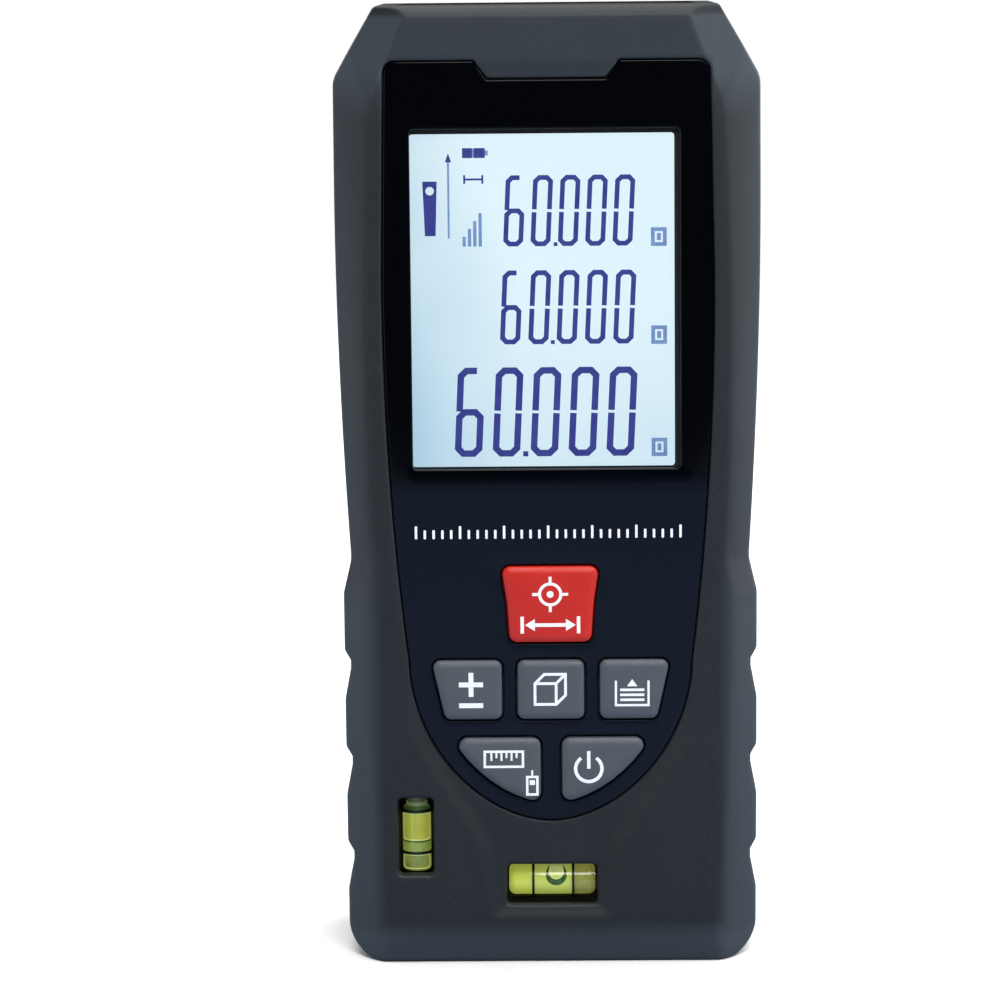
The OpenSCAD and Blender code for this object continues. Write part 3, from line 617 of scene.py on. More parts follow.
def front_cut(points):
    """How far the front lies below its face, through its bevels, corner facets and dish."""
    x, z = np.abs(points[:, 0]), points[:, 1]
    spread = z - BEVEL_Z
    bevel = BEVEL_W + np.where(spread > 0, 1.6 * (spread / 56) ** 2, 1.9 * (spread / 41.5) ** 2)
    share = (x - half_width(z)) / bevel + 1
    crowned = BEVEL_FALL * bevel * np.sign(share) * np.abs(share) ** BEVEL_CROWN
    cut = smooth_max(np.zeros(len(x)), crowned, 0.4)
    cut = smooth_max(cut, z - BODY_H + 1.1, 0.2)
    cut = smooth_max(cut, (4.6 - z) * 0.22, 0.4)
    facet = x * math.cos(FACET_LEAN) + z * math.sin(FACET_LEAN) - FACET_REACH
    cut = smooth_max(cut, facet * 0.55, 0.06)
    slope = DISH - 0.36 * depth_inside(points, SHIELD)
    return cut + np.maximum(DISH - smooth_max(np.zeros(len(x)), slope, 0.12), 0)


door_low, door_high = box_mm("battery_door")
DOOR_HW = door_high.x - 1.2
DOOR_LOW, DOOR_HIGH = door_low.z, door_high.z
# The scoop above the door that lets a fingertip reach its edge
SCOOP_R = 2.2
SCOOP_Z = DOOR_HIGH + 0.7


def rear_cut(points):
    """How far the back of the housing lies inside its face."""
    x, z = np.abs(points[:, 0]), points[:, 1]
    cut = smooth_max(np.zeros(len(x)), (x - 22.2 + SHOULDER - half_width(z)) * 0.93, 0.6)
    cut = smooth_max(cut, z - BODY_H + 1.4, 0.3)
    cut = smooth_max(cut, 1.4 - z, 0.4)
    reach = SCOOP_R ** 2 - (z - SCOOP_Z) ** 2
    scoop = np.sqrt(np.maximum(reach, 0)) - 1.2 - np.maximum(x - 3.9, 0) * 2.5
    return smooth_max(cut, np.where(reach > 0, scoop, -1.0), 0.25)


plate_low, plate_high = box_mm("end_plate")
PLATE_GAP = 0.1
PLATE_R = 3.0
EDGE = 0.45


def shell(piece, cut, face, towards, top_end, side_end, holes, step):
    """One half of the housing, from its face to the seam, with a notch for the end plate.

    towards is the way from the face to the seam along Y, and the walls run straight down to top_end
    in the top face and to side_end elsewhere."""
    def place(points):
        return [(x, face + towards * c, z) for (x, z), c in zip(points, cut(points))]

    rim = inset(OUTLINE, EDGE)
    piece.sheet(rim, holes, step, place)
    near = np.array([p[1] for p in place(coords(rim))])
    edge = np.array([p[1] for p in place(coords(OUTLINE))])
    rings = []
    for k in range(6):
        t = k / 5
        line = [p * (1 - t) ** 2 + q * (1 - (1 - t) ** 2) for p, q in zip(rim, OUTLINE)]
        depth = near * (1 - t) ** 2 + edge * 2 * t * (1 - t) + (edge + towards * 0.6) * t ** 2
        rings.append(piece.laid(line, depth))
    on_top = [p.y > BODY_H - 0.001 and abs(p.x) < plate_high.x + 0.9 for p in OUTLINE]
    seam = SEAM_Y - towards * 0.06
    groove = SEAM_Y - towards * 0.4
    rings.append(piece.laid(OUTLINE, [top_end if top else side_end for top in on_top]))
    piece.bridge(rings)
    low = piece.flat(OUTLINE, groove)
    lip = piece.flat(inset(OUTLINE, 0.22), seam)
    inner = piece.flat(inset(OUTLINE, 1.9), seam)
    piece.bridge([rings[-1], low, lip, inner], skip=lambda i, j: on_top[i] and on_top[j])
    top_edge = [p.x for p, top in zip(OUTLINE, on_top) if top]
    right, left = top_edge[0], top_edge[-1]
    reach = plate_high.x + PLATE_GAP
    far = plate_low.y - PLATE_GAP if towards > 0 else plate_high.y + PLATE_GAP
    notch = [Vector((left, groove)), Vector((-reach, groove))]
    for sign, turns in ((-1, quarter(8)), (1, quarter(8)[::-1])):
        for a in turns:
            x = reach - PLATE_R + PLATE_R * math.cos(a)
            notch.append(Vector((sign * x, far + towards * (PLATE_R - PLATE_R * math.sin(a)))))
    notch += [Vector((reach, groove)), Vector((right, groove))]
    loop = [Vector((x, top_end)) for x in top_edge] + notch
    piece.sheet(loop, [], 4.0, lambda points: [(x, y, BODY_H) for x, y in points])
    wall = notch[1:-1]
    piece.bridge([
        piece.ring([(p.x, p.y, BODY_H) for p in wall]),
        piece.ring([(p.x, p.y, plate_low.z) for p in wall]),
    ], closed=False)


def front_shell():
    """The front half, with the recess of the fascia and the windows of the two vials."""
    piece = Piece()

    def surface(points):
        return FACE_Y + front_cut(points)

    rims = [(FASCIA, 0.4, 0.1), (LEVEL_WINDOW, 0.5, 0.0), (PLUMB_WINDOW, 0.5, 0.0)]
    holes = [inset(loop, -radius - gap) for loop, radius, gap in rims]
    shell(piece, front_cut, FACE_Y, 1, -7.7, -7.7, holes, 0.42)
    floor = rim_rings(piece, *rims[0], surface, 1, FLOOR_Y)
    piece.bridge([floor, piece.flat(inset(FASCIA, 0.9), FLOOR_Y)])
    behind = FACE_Y + 1.5
    for loop, radius, gap in rims[1:]:
        lip = rim_rings(piece, loop, radius, gap, surface, 1, behind)
        pocket = inset(loop, -0.9)
        piece.bridge([lip, piece.flat(pocket, behind), piece.flat(pocket, VIAL_Y + 0.2)])
    piece.build("front_housing", shell_material, "housing", replaces=["front_shell"])


DOOR_GAP = 0.15
OPENING_HW = DOOR_HW + DOOR_GAP
OPENING = rounded_span(-OPENING_HW, OPENING_HW, DOOR_LOW - DOOR_GAP, DOOR_HIGH + DOOR_GAP, 0.5)
DOOR_OPENING = divided(OPENING, 1.0)
BAY = [-11.2, 11.2, 11.0, 61.0]
BAY_FLOOR_Y = 0.0
SEAT_Y = BACK_Y - 1.9
WELL_FLOOR_Y = 4.4
WELLS = [(x, z) for x in (-19.6, 19.6) for z in (6.5, BODY_H - 9)]
bush_low, bush_high = box_mm("tripod_bush")
BUSH_Z = (bush_low.z + bush_high.z) / 2
BUSH_R = bush_high.x


def rear_shell():
    """The rear half, with the battery bay, the screw wells and the seat of the tripod bush."""
    piece = Piece()

    def surface(points):
        return BACK_Y - rear_cut(points)

    wells = [circle(x, z, 2.3, 40) for x, z in WELLS]
    bush = circle(0, BUSH_Z, BUSH_R, 64)
    rims = [(DOOR_OPENING, 0.3, 0.0)] + [(well, 0.35, 0.0) for well in wells] + [(bush, 0.35, 0.04)]
    holes = [inset(loop, -radius - gap) for loop, radius, gap in rims]
    shell(piece, rear_cut, BACK_Y, -1, 11.75, 9.0, holes, 0.7)
    rim_rings(piece, *rims[0], surface, -1, SEAT_Y)
    bay = rounded_span(*BAY, 0.4)
    piece.flat_sheet(DOOR_OPENING, [bay], 5.0, SEAT_Y)
    top, bottom = piece.flat(bay, SEAT_Y), piece.flat(bay, BAY_FLOOR_Y)
    piece.bridge([top, bottom])
    piece.fill(bottom)
    for (x, z), rim in zip(WELLS, rims[1:5]):
        end = rim_rings(piece, *rim, surface, -1, WELL_FLOOR_Y)
        piece.bridge([end, piece.flat(circle(x, z, 1.25, 40), WELL_FLOOR_Y)])
    rim_rings(piece, *rims[5], surface, -1, bush_low.y)
    piece.build("rear_housing", shell_material, "housing", replaces=["rear_shell"])


def cut_out(target, cutters):
    """Takes closed cutter pieces out of a closed target and removes them."""
    for cutter in cutters:
        modifier = target.modifiers.new("cut", "BOOLEAN")
        modifier.operation = "DIFFERENCE"
        modifier.solver = "EXACT"
        modifier.object = cutter
    bpy.context.view_layer.update()
    graph = bpy.context.evaluated_depsgraph_get()
    mesh = bpy.data.meshes.new_from_object(target.evaluated_get(graph))
    target.modifiers.clear()
    target.data = mesh
    shade_smooth(mesh, SHARP)
    for cutter in cutters:
        bpy.data.objects.remove(cutter)


def round_ring(piece, x, y, z, radius, step):
    """A ring about an axis along X; step is its angle in radians from point to point."""
    turns = np.arange(0, 2 * math.pi, step)
    return piece.ring([(x, y + radius * math.cos(a), z + radius * math.sin(a)) for a in turns])


def door():
    """The battery door: a plate with a rolled hinge edge, two latch slots, thumb ribs and hinge stubs."""
    piece = Piece()
    inner_y, hinge_r = BACK_Y - 1.8, 0.89
    profile = rounded([
        (inner_y, DOOR_LOW, hinge_r), (BACK_Y, DOOR_LOW, hinge_r),
        (BACK_Y, DOOR_HIGH, 0.3), (inner_y, DOOR_HIGH, 0.2),
    ])
    slices = [(-DOOR_HW, 0.2), (-DOOR_HW + 0.06, 0.06), (-DOOR_HW + 0.2, 0)]
    slices += [(-x, edge) for x, edge in reversed(slices)]
    piece.solid([piece.ring([(x, p.x, p.y) for p in inset(profile, edge)]) for x, edge in slices])
    made = piece.build("battery_cover", shell_material, "housing", "battery_door", ["battery_door"])
    cutters = []
    for x in (-6, 6):
        slot = Piece()
        outline = rounded_span(x - 0.4, x + 0.4, DOOR_HIGH - 7, DOOR_HIGH + 2, 0.39)
        slot.prism(outline, inner_y - 1, BACK_Y + 1)
        cutters.append(slot.build(f"slot_{x}", shell_material, ride=False))
    for k in range(4):
        groove = Piece()
        z = DOOR_HIGH - 10 - 1.6 * k
        groove.solid([round_ring(groove, x, BACK_Y + 0.25, z, 0.5, 0.4) for x in (-5.0, 5.0)])
        cutters.append(groove.build(f"groove_{k}", shell_material, ride=False))
    cut_out(made, cutters)
    pins = Piece()
    for side in (-1, 1):
        steps = [(DOOR_HW - 0.3, 0.5), (DOOR_HW + 1.0, 0.5), (DOOR_HW + 1.2, 0.35)]
        rings = [round_ring(pins, side * x, BACK_Y - 0.9, DOOR_LOW + 0.9, r, 0.35) for x, r in steps]
        pins.bridge(rings)
        pins.fill(rings[-1])
    pins.build("battery_cover_stubs", shell_material, "housing", "battery_door")


KEY_GAP, PANE_GAP = 0.22, 0.05
FASCIA_ROUND, RIM_ROUND = 0.22, 0.18


def fascia():
    """The fascia plate with softened edges round its outline, the display window and the keys."""
    piece = Piece()
    rims = [(PANE, PANE_GAP)] + [(key_loops[key], KEY_GAP) for key in KEYS]
    holes = [inset(loop, -gap - RIM_ROUND) for loop, gap in rims]

    def level(points):
        return np.full(len(points), FASCIA_Y)

    piece.flat_sheet(inset(FASCIA, FASCIA_ROUND), holes, 1.6, FASCIA_Y)
    rings = []
    for a in quarter(4):
        line = inset(FASCIA, FASCIA_ROUND * (1 - math.sin(a)))
        rings.append(piece.flat(line, FASCIA_Y + FASCIA_ROUND * (1 - math.cos(a))))
    rings.append(piece.flat(FASCIA, FLOOR_Y))
    piece.bridge(rings)
    for loop, gap in rims:
        rim_rings(piece, loop, RIM_ROUND, gap, level, 1, FLOOR_Y)
    piece.build("fascia_plate", fascia_material, "fascia", replaces=["fascia"])


def key(name, material, slot):
    """A key cap on its flange, with a bevelled rim and a flat top, whose depth is returned."""
    piece = Piece()
    loop = key_loops[name]
    low, high = box_mm(name)
    top = low.y + 0.02
    rim = [(0, 0.5), (0.05, 0.29), (0.16, 0.15), (0.72, 0.03), (0.82, 0.008), (0.92, 0)]
    steps = [(0, high.y - 1.7)] + [(edge, top + drop) for edge, drop in rim]
    rings = [piece.flat(inset(loop, edge), y) for edge, y in steps]
    flange = [(0, high.y - 1.6), (-0.68, high.y - 1.58), (-0.68, high.y - 0.82), (0, high.y - 0.8)]
    skirt = [piece.flat(inset(loop, edge), y) for edge, y in flange]
    piece.bridge(rings)
    piece.bridge([rings[0]] + skirt)
    piece.flat_sheet(inset(loop, rim[-1][0]), [], 1.2, top)
    piece.fill(skirt[-1])
    piece.build(name + "_cap", material, slot, name, [name], sharp=50)
    return top


# ---- Printed marks ----

class Print(Piece):
    """Flat marks of one colour, drawn as thin plates at one depth."""

    def __init__(self, y, thick=0.02):
        super().__init__()
        self.y, self.thick = y, thick

    def shape(self, loop):
        self.prism(loop, self.y - self.thick, self.y + 0.01)

    def bar(self, x0, x1, z0, z1, radius=0.0):
        self.shape(rounded_span(x0, x1, z0, z1, radius))

    def bars(self, *rows):
        for row in rows:
            self.bar(*row)

    def box(self, x0, x1, z0, z1, width):
        """An empty rectangle drawn with a line of even width."""
        self.stroke([(x0, z0), (x1, z0), (x1, z1), (x0, z1)], width, closed=True)

    def poly(self, *corners):
        self.shape([Vector(p) for p in corners])

    def stroke(self, points, width, closed=False):
        """A band of even width along a line of points."""
        points = [Vector(p) for p in points]
        last = len(points) - 1
        left, right = [], []
        for i, here in enumerate(points):
            before = points[i - 1] if closed or i else here * 2 - points[1]
            after = points[(i + 1) % (last + 1)] if closed or i < last else here * 2 - points[i - 1]
            a, b = (here - before).normalized(), (after - here).normalized()
            side = Vector((-a.y - b.y, a.x + b.x)).normalized()
            reach = width / 2 / max(0.4, side.dot(Vector((-a.y, a.x))))
            left.append(here + side * reach)
            right.append(here - side * reach)
        front, back = self.y - self.thick, self.y + 0.01
        walls = [(left, back), (left, front), (right, front), (right, back)]
        rings = [self.flat(line, y) for line, y in walls]
        self.bridge(rings + [rings[0]], closed=closed)
        if not closed:
            self.fill([ring[0] for ring in rings])
            self.fill([ring[-1] for ring in rings])

    def arc(self, x, z, radius, width, start=0, end=360):
        """A band along an arc, in degrees."""
        closed = end - start == 360
        turns = [math.radians(start + (end - start) * k / TURN_STEPS) for k in range(TURN_STEPS + 1 - closed)]
        self.stroke([(x + radius * math.cos(a), z + radius * math.sin(a)) for a in turns], width, closed)

    def sign(self, key, part=""):
        """Builds the marks as the sign on a key."""
        self.build(key.replace("_key", "_sign") + part, print_white, "white_plastic", key)


def scale_marks():
    """A plain scale of ticks under the display, every fifth one long."""
    marks = Print(FASCIA_Y)
    pitch, first, low = 1.077, -16.34, 53.35
    for k in range(31):
        x = first + pitch * k
        marks.bar(x - 0.15, x + 0.15, low, low + (1.6 if k % 5 == 0 else 1.1), 0.1)
    marks.build("scale_ticks", print_white, "white_plastic")


def pictograms(tops):
    """Generic signs on the keys."""
    marks = Print(tops["measure_key"])
    aim_z, arrow_z = 46.5, 42.7
    marks.arc(0, aim_z, 1.3, 0.36)
    marks.shape(circle(0, aim_z, 0.42, 20))
    for a in range(4):
        c, s = math.cos(a * math.pi / 2), math.sin(a * math.pi / 2)
        marks.stroke([(1.49 * c, aim_z + 1.49 * s), (2.2 * c, aim_z + 2.2 * s)], 0.36)
    for side in (-1, 1):
        marks.stroke([(side * 3.45, arrow_z - 1.05), (side * 3.45, arrow_z + 1.05)], 0.42)
        marks.poly((side * 3.1, arrow_z), (side * 1.9, arrow_z + 0.75), (side * 1.9, arrow_z - 0.75))
    marks.bar(-1.89, 1.89, arrow_z - 0.22, arrow_z + 0.22)
    marks.sign("measure_key")

    marks = Print(tops["plus_minus_key"])
    marks.bars((-11.29, -8.32, 35.0, 35.6), (-10.1, -9.5, 33.8, 34.99), (-10.1, -9.5, 35.61, 36.8),
               (-11.29, -8.32, 32.4, 33.0))
    marks.sign("plus_minus_key")

    marks = Print(tops["function_key"])
    left, low, size, shift, wide = -1.95, 32.8, 2.6, 1.15, 0.34
    right, high = left + size, low + size
    far_right, far_high = right + shift, high + shift
    marks.stroke([(left, low), (right, low), (far_right, low + shift), (far_right, far_high),
                  (left + shift, far_high), (left, high)], wide, closed=True)
    inner = Print(tops["function_key"], 0.017)
    inner.stroke([(left + wide / 2, high), (right, high), (right, low + wide / 2)], wide)
    inner.stroke([(right + 0.12, high + 0.12), (far_right - 0.12, far_high - 0.12)], wide)
    marks.sign("function_key")
    inner.sign("function_key", "_edges")

    marks = Print(tops["memory_key"])
    marks.bars((7.85, 8.12, 32.5, 35.7), (11.85, 12.12, 32.5, 35.7), (8.12, 11.85, 32.5, 32.78))
    for k in range(3):
        marks.bar(8.5, 11.47, 33.15 + 0.62 * k, 33.47 + 0.62 * k)
    marks.poly((9.35, 35.0), (10.62, 35.0), (9.985, 35.9))
    marks.sign("memory_key")

    marks = Print(tops["unit_key"])
    marks.box(-8.2, -3.5, 25.0, 26.9, 0.3)
    for k in range(6):
        marks.bar(-7.5 + 0.62 * k, -7.26 + 0.62 * k, 26.1 if k % 2 else 25.75, 26.74)
    marks.box(-3.0, -1.75, 21.5, 23.7, 0.3)
    marks.bar(-2.7, -2.05, 22.7, 23.3)
    marks.stroke([(-2.38, 23.86), (-2.38, 24.55)], 0.24)
    marks.sign("unit_key")

    marks = Print(tops["clear_key"])
    marks.arc(4.6, 24.7, 1.62, 0.42, 125, 415)
    marks.bar(4.39, 4.81, 24.7, 26.9)
    marks.sign("clear_key")


# ---- Display ----

LCD_Y = box_mm("lcd_glass")[0].y
LEAN = math.tan(math.radians(2.8))


def figure(marks, name, x, z, width, height, thick):
    """A seven-segment nought or six with cut corners, leaning to the right."""
    half, cut, gap = height / 2, thick * 0.8, 0.17
    left, right, low, high = thick / 2, width - thick / 2, thick / 2, height - thick / 2

    def leaning(points, closed=False):
        marks.stroke([(x + a + b * LEAN, z + b) for a, b in points], thick, closed)

    foot = [(left, low + cut), (left + cut, low), (right - cut, low), (right, low + cut)]
    head = [(left, half + gap), (left, high - cut), (left + cut, high), (right - cut, high)]
    if name == "6":
        bar = [(right, half - cut), (right - cut, half), (left + cut, half), (left, half - cut)]
        leaning(foot + bar, True)
        leaning([(left, half + gap * 0.6)] + head[1:])
    else:
        leaning([(left, half - gap)] + foot + [(right, half - gap)])
        leaning(head + [(right, high - cut), (right, half + gap)])


# Each row: foot height, figure height, figure width, pitch, left end, stroke, decimal point
ROWS = [
    (88.98, 8.6, 2.42, 3.31, -5.4, 0.58, 0.97),
    (77.06, 9.0, 2.47, 3.44, -5.9, 0.6, 0.55),
    (63.3, 10.95, 3.37, 4.63, -11.55, 0.8, -2.85),
]


def display(screen):
    """The figures and symbols of the liquid crystal display, and the dark border of its pane."""
    ink, pale = Print(LCD_Y), Print(LCD_Y)
    for z, height, width, pitch, left, thick, dot in ROWS:
        for k, name in enumerate("60000"):
            figure(ink, name, left + pitch * k, z, width, height, thick)
        ink.bar(dot - thick * 0.4, dot + thick * 0.4, z, z + thick * 0.8)
        pale.box(12.75, 14.2, z + 0.15, z + 1.95, 0.46)
        pale.bar(13.24, 13.72, z + 0.62, z + 1.48)
    ink.poly((-14.85, 90.3), (-13.55, 90.3), (-13.35, 96.9), (-15.1, 96.9))
    ink.bars((-10.25, -9.05, 99.7, 100.9), (-8.85, -7.5, 99.7, 100.9))
    pale.bars((-9.05, -8.85, 99.75, 100.85), (-7.5, -7.15, 100.0, 100.6), (-12.08, -11.84, 90.0, 99.2))
    ink.poly((-12.35, 99.2), (-11.57, 99.2), (-11.96, 100.3))
    ink.bars((-9.9, -7.95, 97.0, 97.24), (-10.14, -9.9, 96.6, 97.64), (-7.95, -7.71, 96.6, 97.64))
    for k in range(4):
        pale.bar(-10.3 + 0.65 * k, -9.9 + 0.65 * k, 89.0, 90.2 + 0.95 * k)
    ink.build("display_segments", lcd_ink, "lcd")
    pale.build("display_symbols", lcd_ink_pale, "lcd")
    light = Print(LCD_Y - 0.02)
    light.shape(circle(-14.22, 95.75, 0.52, 24))
    light.build("display_symbol_window", screen, "lcd")
    mask = Piece()
    outer = rounded_span(-17.2, 16.6, 60.6, 104.6, 0.2)
    clear = rounded_span(-16.66, 15.36, 62.08, 102.6, 0.4)
    mask.flat_sheet(outer, [clear], 20.0, LCD_Y - 0.06)
    mask.bridge([mask.flat(clear, LCD_Y - 0.06), mask.flat(clear, LCD_Y - 0.01)])
    mask.build("display_border", plain("display_border", (10, 12, 18), 0.5), "fascia")


# ---- Vials ----

def turned(piece, axis, centre, profile):
    """A solid of revolution: profile lists (distance along the axis, radius)."""
    rings = []
    for along, radius in profile:
        ring = []
        for k in range(TURN_STEPS):
            a = 2 * math.pi * k / TURN_STEPS
            u, v = radius * math.cos(a), radius * math.sin(a)
            offset = (along, u, v) if axis == "x" else (u, v, along)
            ring.append(tuple(c + o for c, o in zip(centre, offset)))
        rings.append(piece.ring(ring))
    piece.solid(rings)


def turned_piece(name, axis, centre, profile, material, slot, replaces=()):
    piece = Piece()
    turned(piece, axis, centre, profile)
    piece.build(name, material, slot, replaces=replaces)


def capped(low, high, radius, corner):
    """A profile with rounded ends."""
    turns = quarter(5)
    start = [(low + corner * (1 - math.sin(a)), radius - corner * (1 - math.cos(a))) for a in reversed(turns)]
    end = [(high - corner * (1 - math.sin(a)), radius - corner * (1 - math.cos(a))) for a in turns]
    return start + end


def on_tube(piece, axis, centre, radius, loop, lift, holes=()):
    """Lays the loop of (x, z) offsets, less its holes, on the front of a tube as a thin skin."""
    def spot(x, z, r):
        across = z if axis == "x" else x
        return (centre[0] + x, centre[1] - math.sqrt(max(r * r - across * across, 0.01)), centre[2] + z)

    loop = divided(loop, 0.25)
    holes = [divided(hole, 0.25) for hole in holes]
    front, back = radius + lift, radius - 0.03
    for r in (front, back):
        piece.sheet(loop, holes, 0.25, lambda points, r=r: [spot(x, z, r) for x, z in points])
    for line in [loop] + holes:
        piece.bridge([piece.ring([spot(p.x, p.y, r) for p in line]) for r in (front, back)])


def liquid_finish(name, axis, zones):
    """Yellow-green spirit with a painted glow, and painted light and shade that change along the vial; zones
    lists (start, colour) along an axis.
    """
    n = Nodes(name)
    along = n.axis(axis)
    tone = zones[0][1]
    for start, colour in zones[1:]:
        tone = n.mix(n.span(along, start - 0.12, start + 0.12), tone, colour)
    cloud = n.ramp(n.noise(2.2, detail=2.0), 0.35, 0.65, 0.0, 0.3)
    tone = n.mix(cloud, tone, srgb(196, 200, 88))
    # Painted glow: the spirit gives off light in its own tone
    n.set(Base_Color=tone, Roughness=0.12, Emission_Color=tone, Emission_Strength=0.5)
    return n.material


def stopper_finish():
    """The stopper of the upright vial: dark green at its foot, with a painted highlight as a pale band above
    it, and a faint painted glow.
    """
    n = Nodes("vial_stopper")
    height = n.axis("Z")
    # Painted highlight: the pale band between 19.5 and 19.9 mm up
    tone = n.mix(n.span(height, 19.3, 19.5), srgb(76, 108, 50), srgb(150, 168, 116))
    tone = n.mix(n.span(height, 19.9, 20.0), tone, srgb(92, 98, 66))
    # Painted glow: the stopper gives off light in its own tone
    n.set(Base_Color=tone, Roughness=n.vary(n.noise(0.5), 0.25, 0.4),
          Emission_Color=tone, Emission_Strength=0.2)
    return n.material


LEVEL, PLUMB = (0, VIAL_Y, LEVEL_Z), (PLUMB_X, VIAL_Y, PLUMB_Z)
LEVEL_R, LEVEL_FILL_R = 2.3, 1.95
PLUMB_R, PLUMB_FILL_R = 2.0, 1.76
BUBBLE_TOP = 1.8


def tubes():
    """The two clear tubes, the spirit in them and the stopper of the upright one."""
    tube = clear_finish("vial_acrylic", (0.95, 0.96, 0.9, 1), 0.03)
    # Painted light and shade along each vial: the level vial darker towards its right end, the plumb vial
    # darker towards its foot
    level_tones = [(-6, srgb(196, 206, 88)), (-2.4, srgb(186, 198, 98)), (2.6, srgb(136, 136, 72))]
    plumb_tones = [(10, srgb(112, 126, 62)), (13.6, srgb(130, 148, 72)), (15.0, srgb(164, 168, 64))]
    turned_piece("level_tube", "x", LEVEL, capped(-6.5, 6.5, LEVEL_R, 0.5), tube, "vial",
                 ["horizontal_vial"])
    turned_piece("level_liquid", "x", LEVEL, capped(-5.35, 5.35, LEVEL_FILL_R, 0.8),
                 liquid_finish("level_spirit", "X", level_tones), "vial_fluid", ["horizontal_vial_fluid"])
    wall = [(-5.6, 1.4), (-5.2, PLUMB_R), (2.6, PLUMB_R), (2.85, PLUMB_R - 0.12), (2.9, 1.8)]
    turned_piece("plumb_tube", "z", PLUMB, wall, tube, "vial", ["vertical_vial"])
    turned_piece("plumb_liquid", "z", PLUMB, capped(-4.9, 2.75, PLUMB_FILL_R, 0.45),
                 liquid_finish("plumb_spirit", "Z", plumb_tones), "vial_fluid", ["vertical_vial_fluid"])
    stopper = [(2.8, 1.3), (2.85, 1.7), (3.15, 1.6), (3.3, 1.25), (3.45, 1.25), (3.5, 1.32),
               (3.75, 1.32), (3.8, 1.2), (4.6, 1.2), (4.75, 1.05)]
    turned_piece("plumb_stopper", "z", PLUMB, stopper, stopper_finish(), "vial")


def vial_marks():
    """The printed lines round the tubes, and the bubbles seen through them, drawn as painted shade at their
    edges and painted highlights inside, all with a painted glow.
    """
    # Painted highlight with a painted glow, for the bright insides of the bubbles
    pale = glowing("vial_bubble", (206, 214, 140), (186, 198, 112), 0.5, patch=1.5, rough=0.2)
    # Painted shade with a faint painted glow, for the dark edges of the bubbles
    dark = glowing("vial_bubble_rim", (40, 72, 26), (60, 96, 40), 0.3, patch=1.0, rough=0.2)
    ink = plain("vial_line", (18, 22, 12), 0.5)
    piece = Piece()
    level_row, plumb_row = ("x", LEVEL, LEVEL_R), ("z", PLUMB, PLUMB_R)
    lines = (level_row, -2.35), (level_row, 2.6), (plumb_row, -2.55), (plumb_row, 2.7)
    for (axis, centre, tube_r), at in lines:
        radius = tube_r + 0.02
        turned(piece, axis, centre, [(at - 0.16, radius - 0.1), (at - 0.15, radius),
                                     (at + 0.15, radius), (at + 0.16, radius - 0.1)])
    piece.build("vial_lines", ink, "vial_ring", replaces=["vial_rings"])

    def trimmed(loop):
        return [Vector((p.x, min(p.y, BUBBLE_TOP))) for p in loop]

    bubble, shine = trimmed(circle(0.5, 0.85, 1.3, 44)), trimmed(circle(0.5, 1.25, 0.95, 36))
    # Painted shade: a dark disc under the level bubble's highlight, and a dark line at the foot of the plumb
    # bubble
    piece = Piece()
    on_tube(piece, "x", LEVEL, LEVEL_FILL_R, bubble, 0.03)
    on_tube(piece, "z", PLUMB, PLUMB_FILL_R, rounded_span(-1.72, 1.72, -1.2, -1.02, 0.08), 0.03)
    piece.build("bubble_edge_painted_shade", dark, "vial_fluid")
    # Painted highlights: the bright middle of the level bubble, and pale frames round two stretches of the
    # plumb vial
    piece = Piece()
    on_tube(piece, "x", LEVEL, LEVEL_FILL_R + 0.04, shine, 0.02)
    for low, high in ((-0.98, 2.5), (-4.6, -2.75)):
        outer = rounded_span(-1.7, 1.7, low, high, 0.4)
        inner = rounded_span(-1.48, 1.48, low + 0.16, high - 0.16, 0.25)
        on_tube(piece, "z", PLUMB, PLUMB_FILL_R, outer, 0.015, [inner])
    piece.build("bubbles", pale, "vial_fluid")


# ---- Tripod bush ----

def tripod_bush(material):
    """A brass bush with a chamfered mouth and a real helical thread."""
    piece = Piece()
    low, high = bush_low.y, bush_high.y
    # A 1/4 inch thread of 20 turns to the inch
    major, minor, pitch, chamfer = 3.175, 2.65, 1.27, 0.5
    count, rows = 48, 72
    rings = []
    for k in range(rows + 1):
        y = high - chamfer - (high - low - chamfer) * k / rows
        ring = []
        for i in range(count):
            a = 2 * math.pi * i / count
            phase = (y / pitch + i / count) % 1
            r = minor + (major - minor) * min(1.0, abs(phase - 0.5) * 2.4)
            ring.append((r * math.cos(a), y, BUSH_Z + r * math.sin(a)))
        rings.append(piece.ring(ring))
    outside = BUSH_R - 0.02
    mouth = [(outside, low), (outside, high - 0.2), (outside - 0.2, high), (major + 0.35, high)]
    piece.bridge([piece.flat(circle(0, BUSH_Z, radius, count), y) for radius, y in mouth] + [rings[0]])
    piece.bridge(rings)
    piece.build("tripod_thread", material, "brass", replaces=["tripod_bush"], sharp=30)


# ---- Finishes of the CAD nodes that stay ----

def cell_finish():
    """A plain battery jacket: dark green with a pale band at its lower end."""
    n = Nodes("cell_jacket")
    broad = n.noise(5.0)
    green = n.mix(n.vary(broad), srgb(26, 84, 58), srgb(34, 98, 68))
    above = n.span(n.axis("Z"), 22.5, 22.6)
    n.set(Base_Color=n.mix(above, srgb(198, 190, 160), green), Roughness=n.vary(broad, 0.25, 0.35),
          Metallic=0.35, Normal=n.bump(n.noise(0.8), 0.01))
    return n.material


def board_finish():
    """Green solder resist over a faint pattern of copper tracks."""
    n = Nodes("solder_resist")
    tracks = n.cells(2.2)
    tracks.distance = "MANHATTAN"
    line = n.ramp(tracks.outputs["Distance"], 0.3, 0.36, 0.0, 1.0)
    n.set(Base_Color=n.mix(line, srgb(14, 82, 48), srgb(26, 108, 62)), Roughness=0.32,
          Normal=n.bump(line, 0.02))
    return n.material


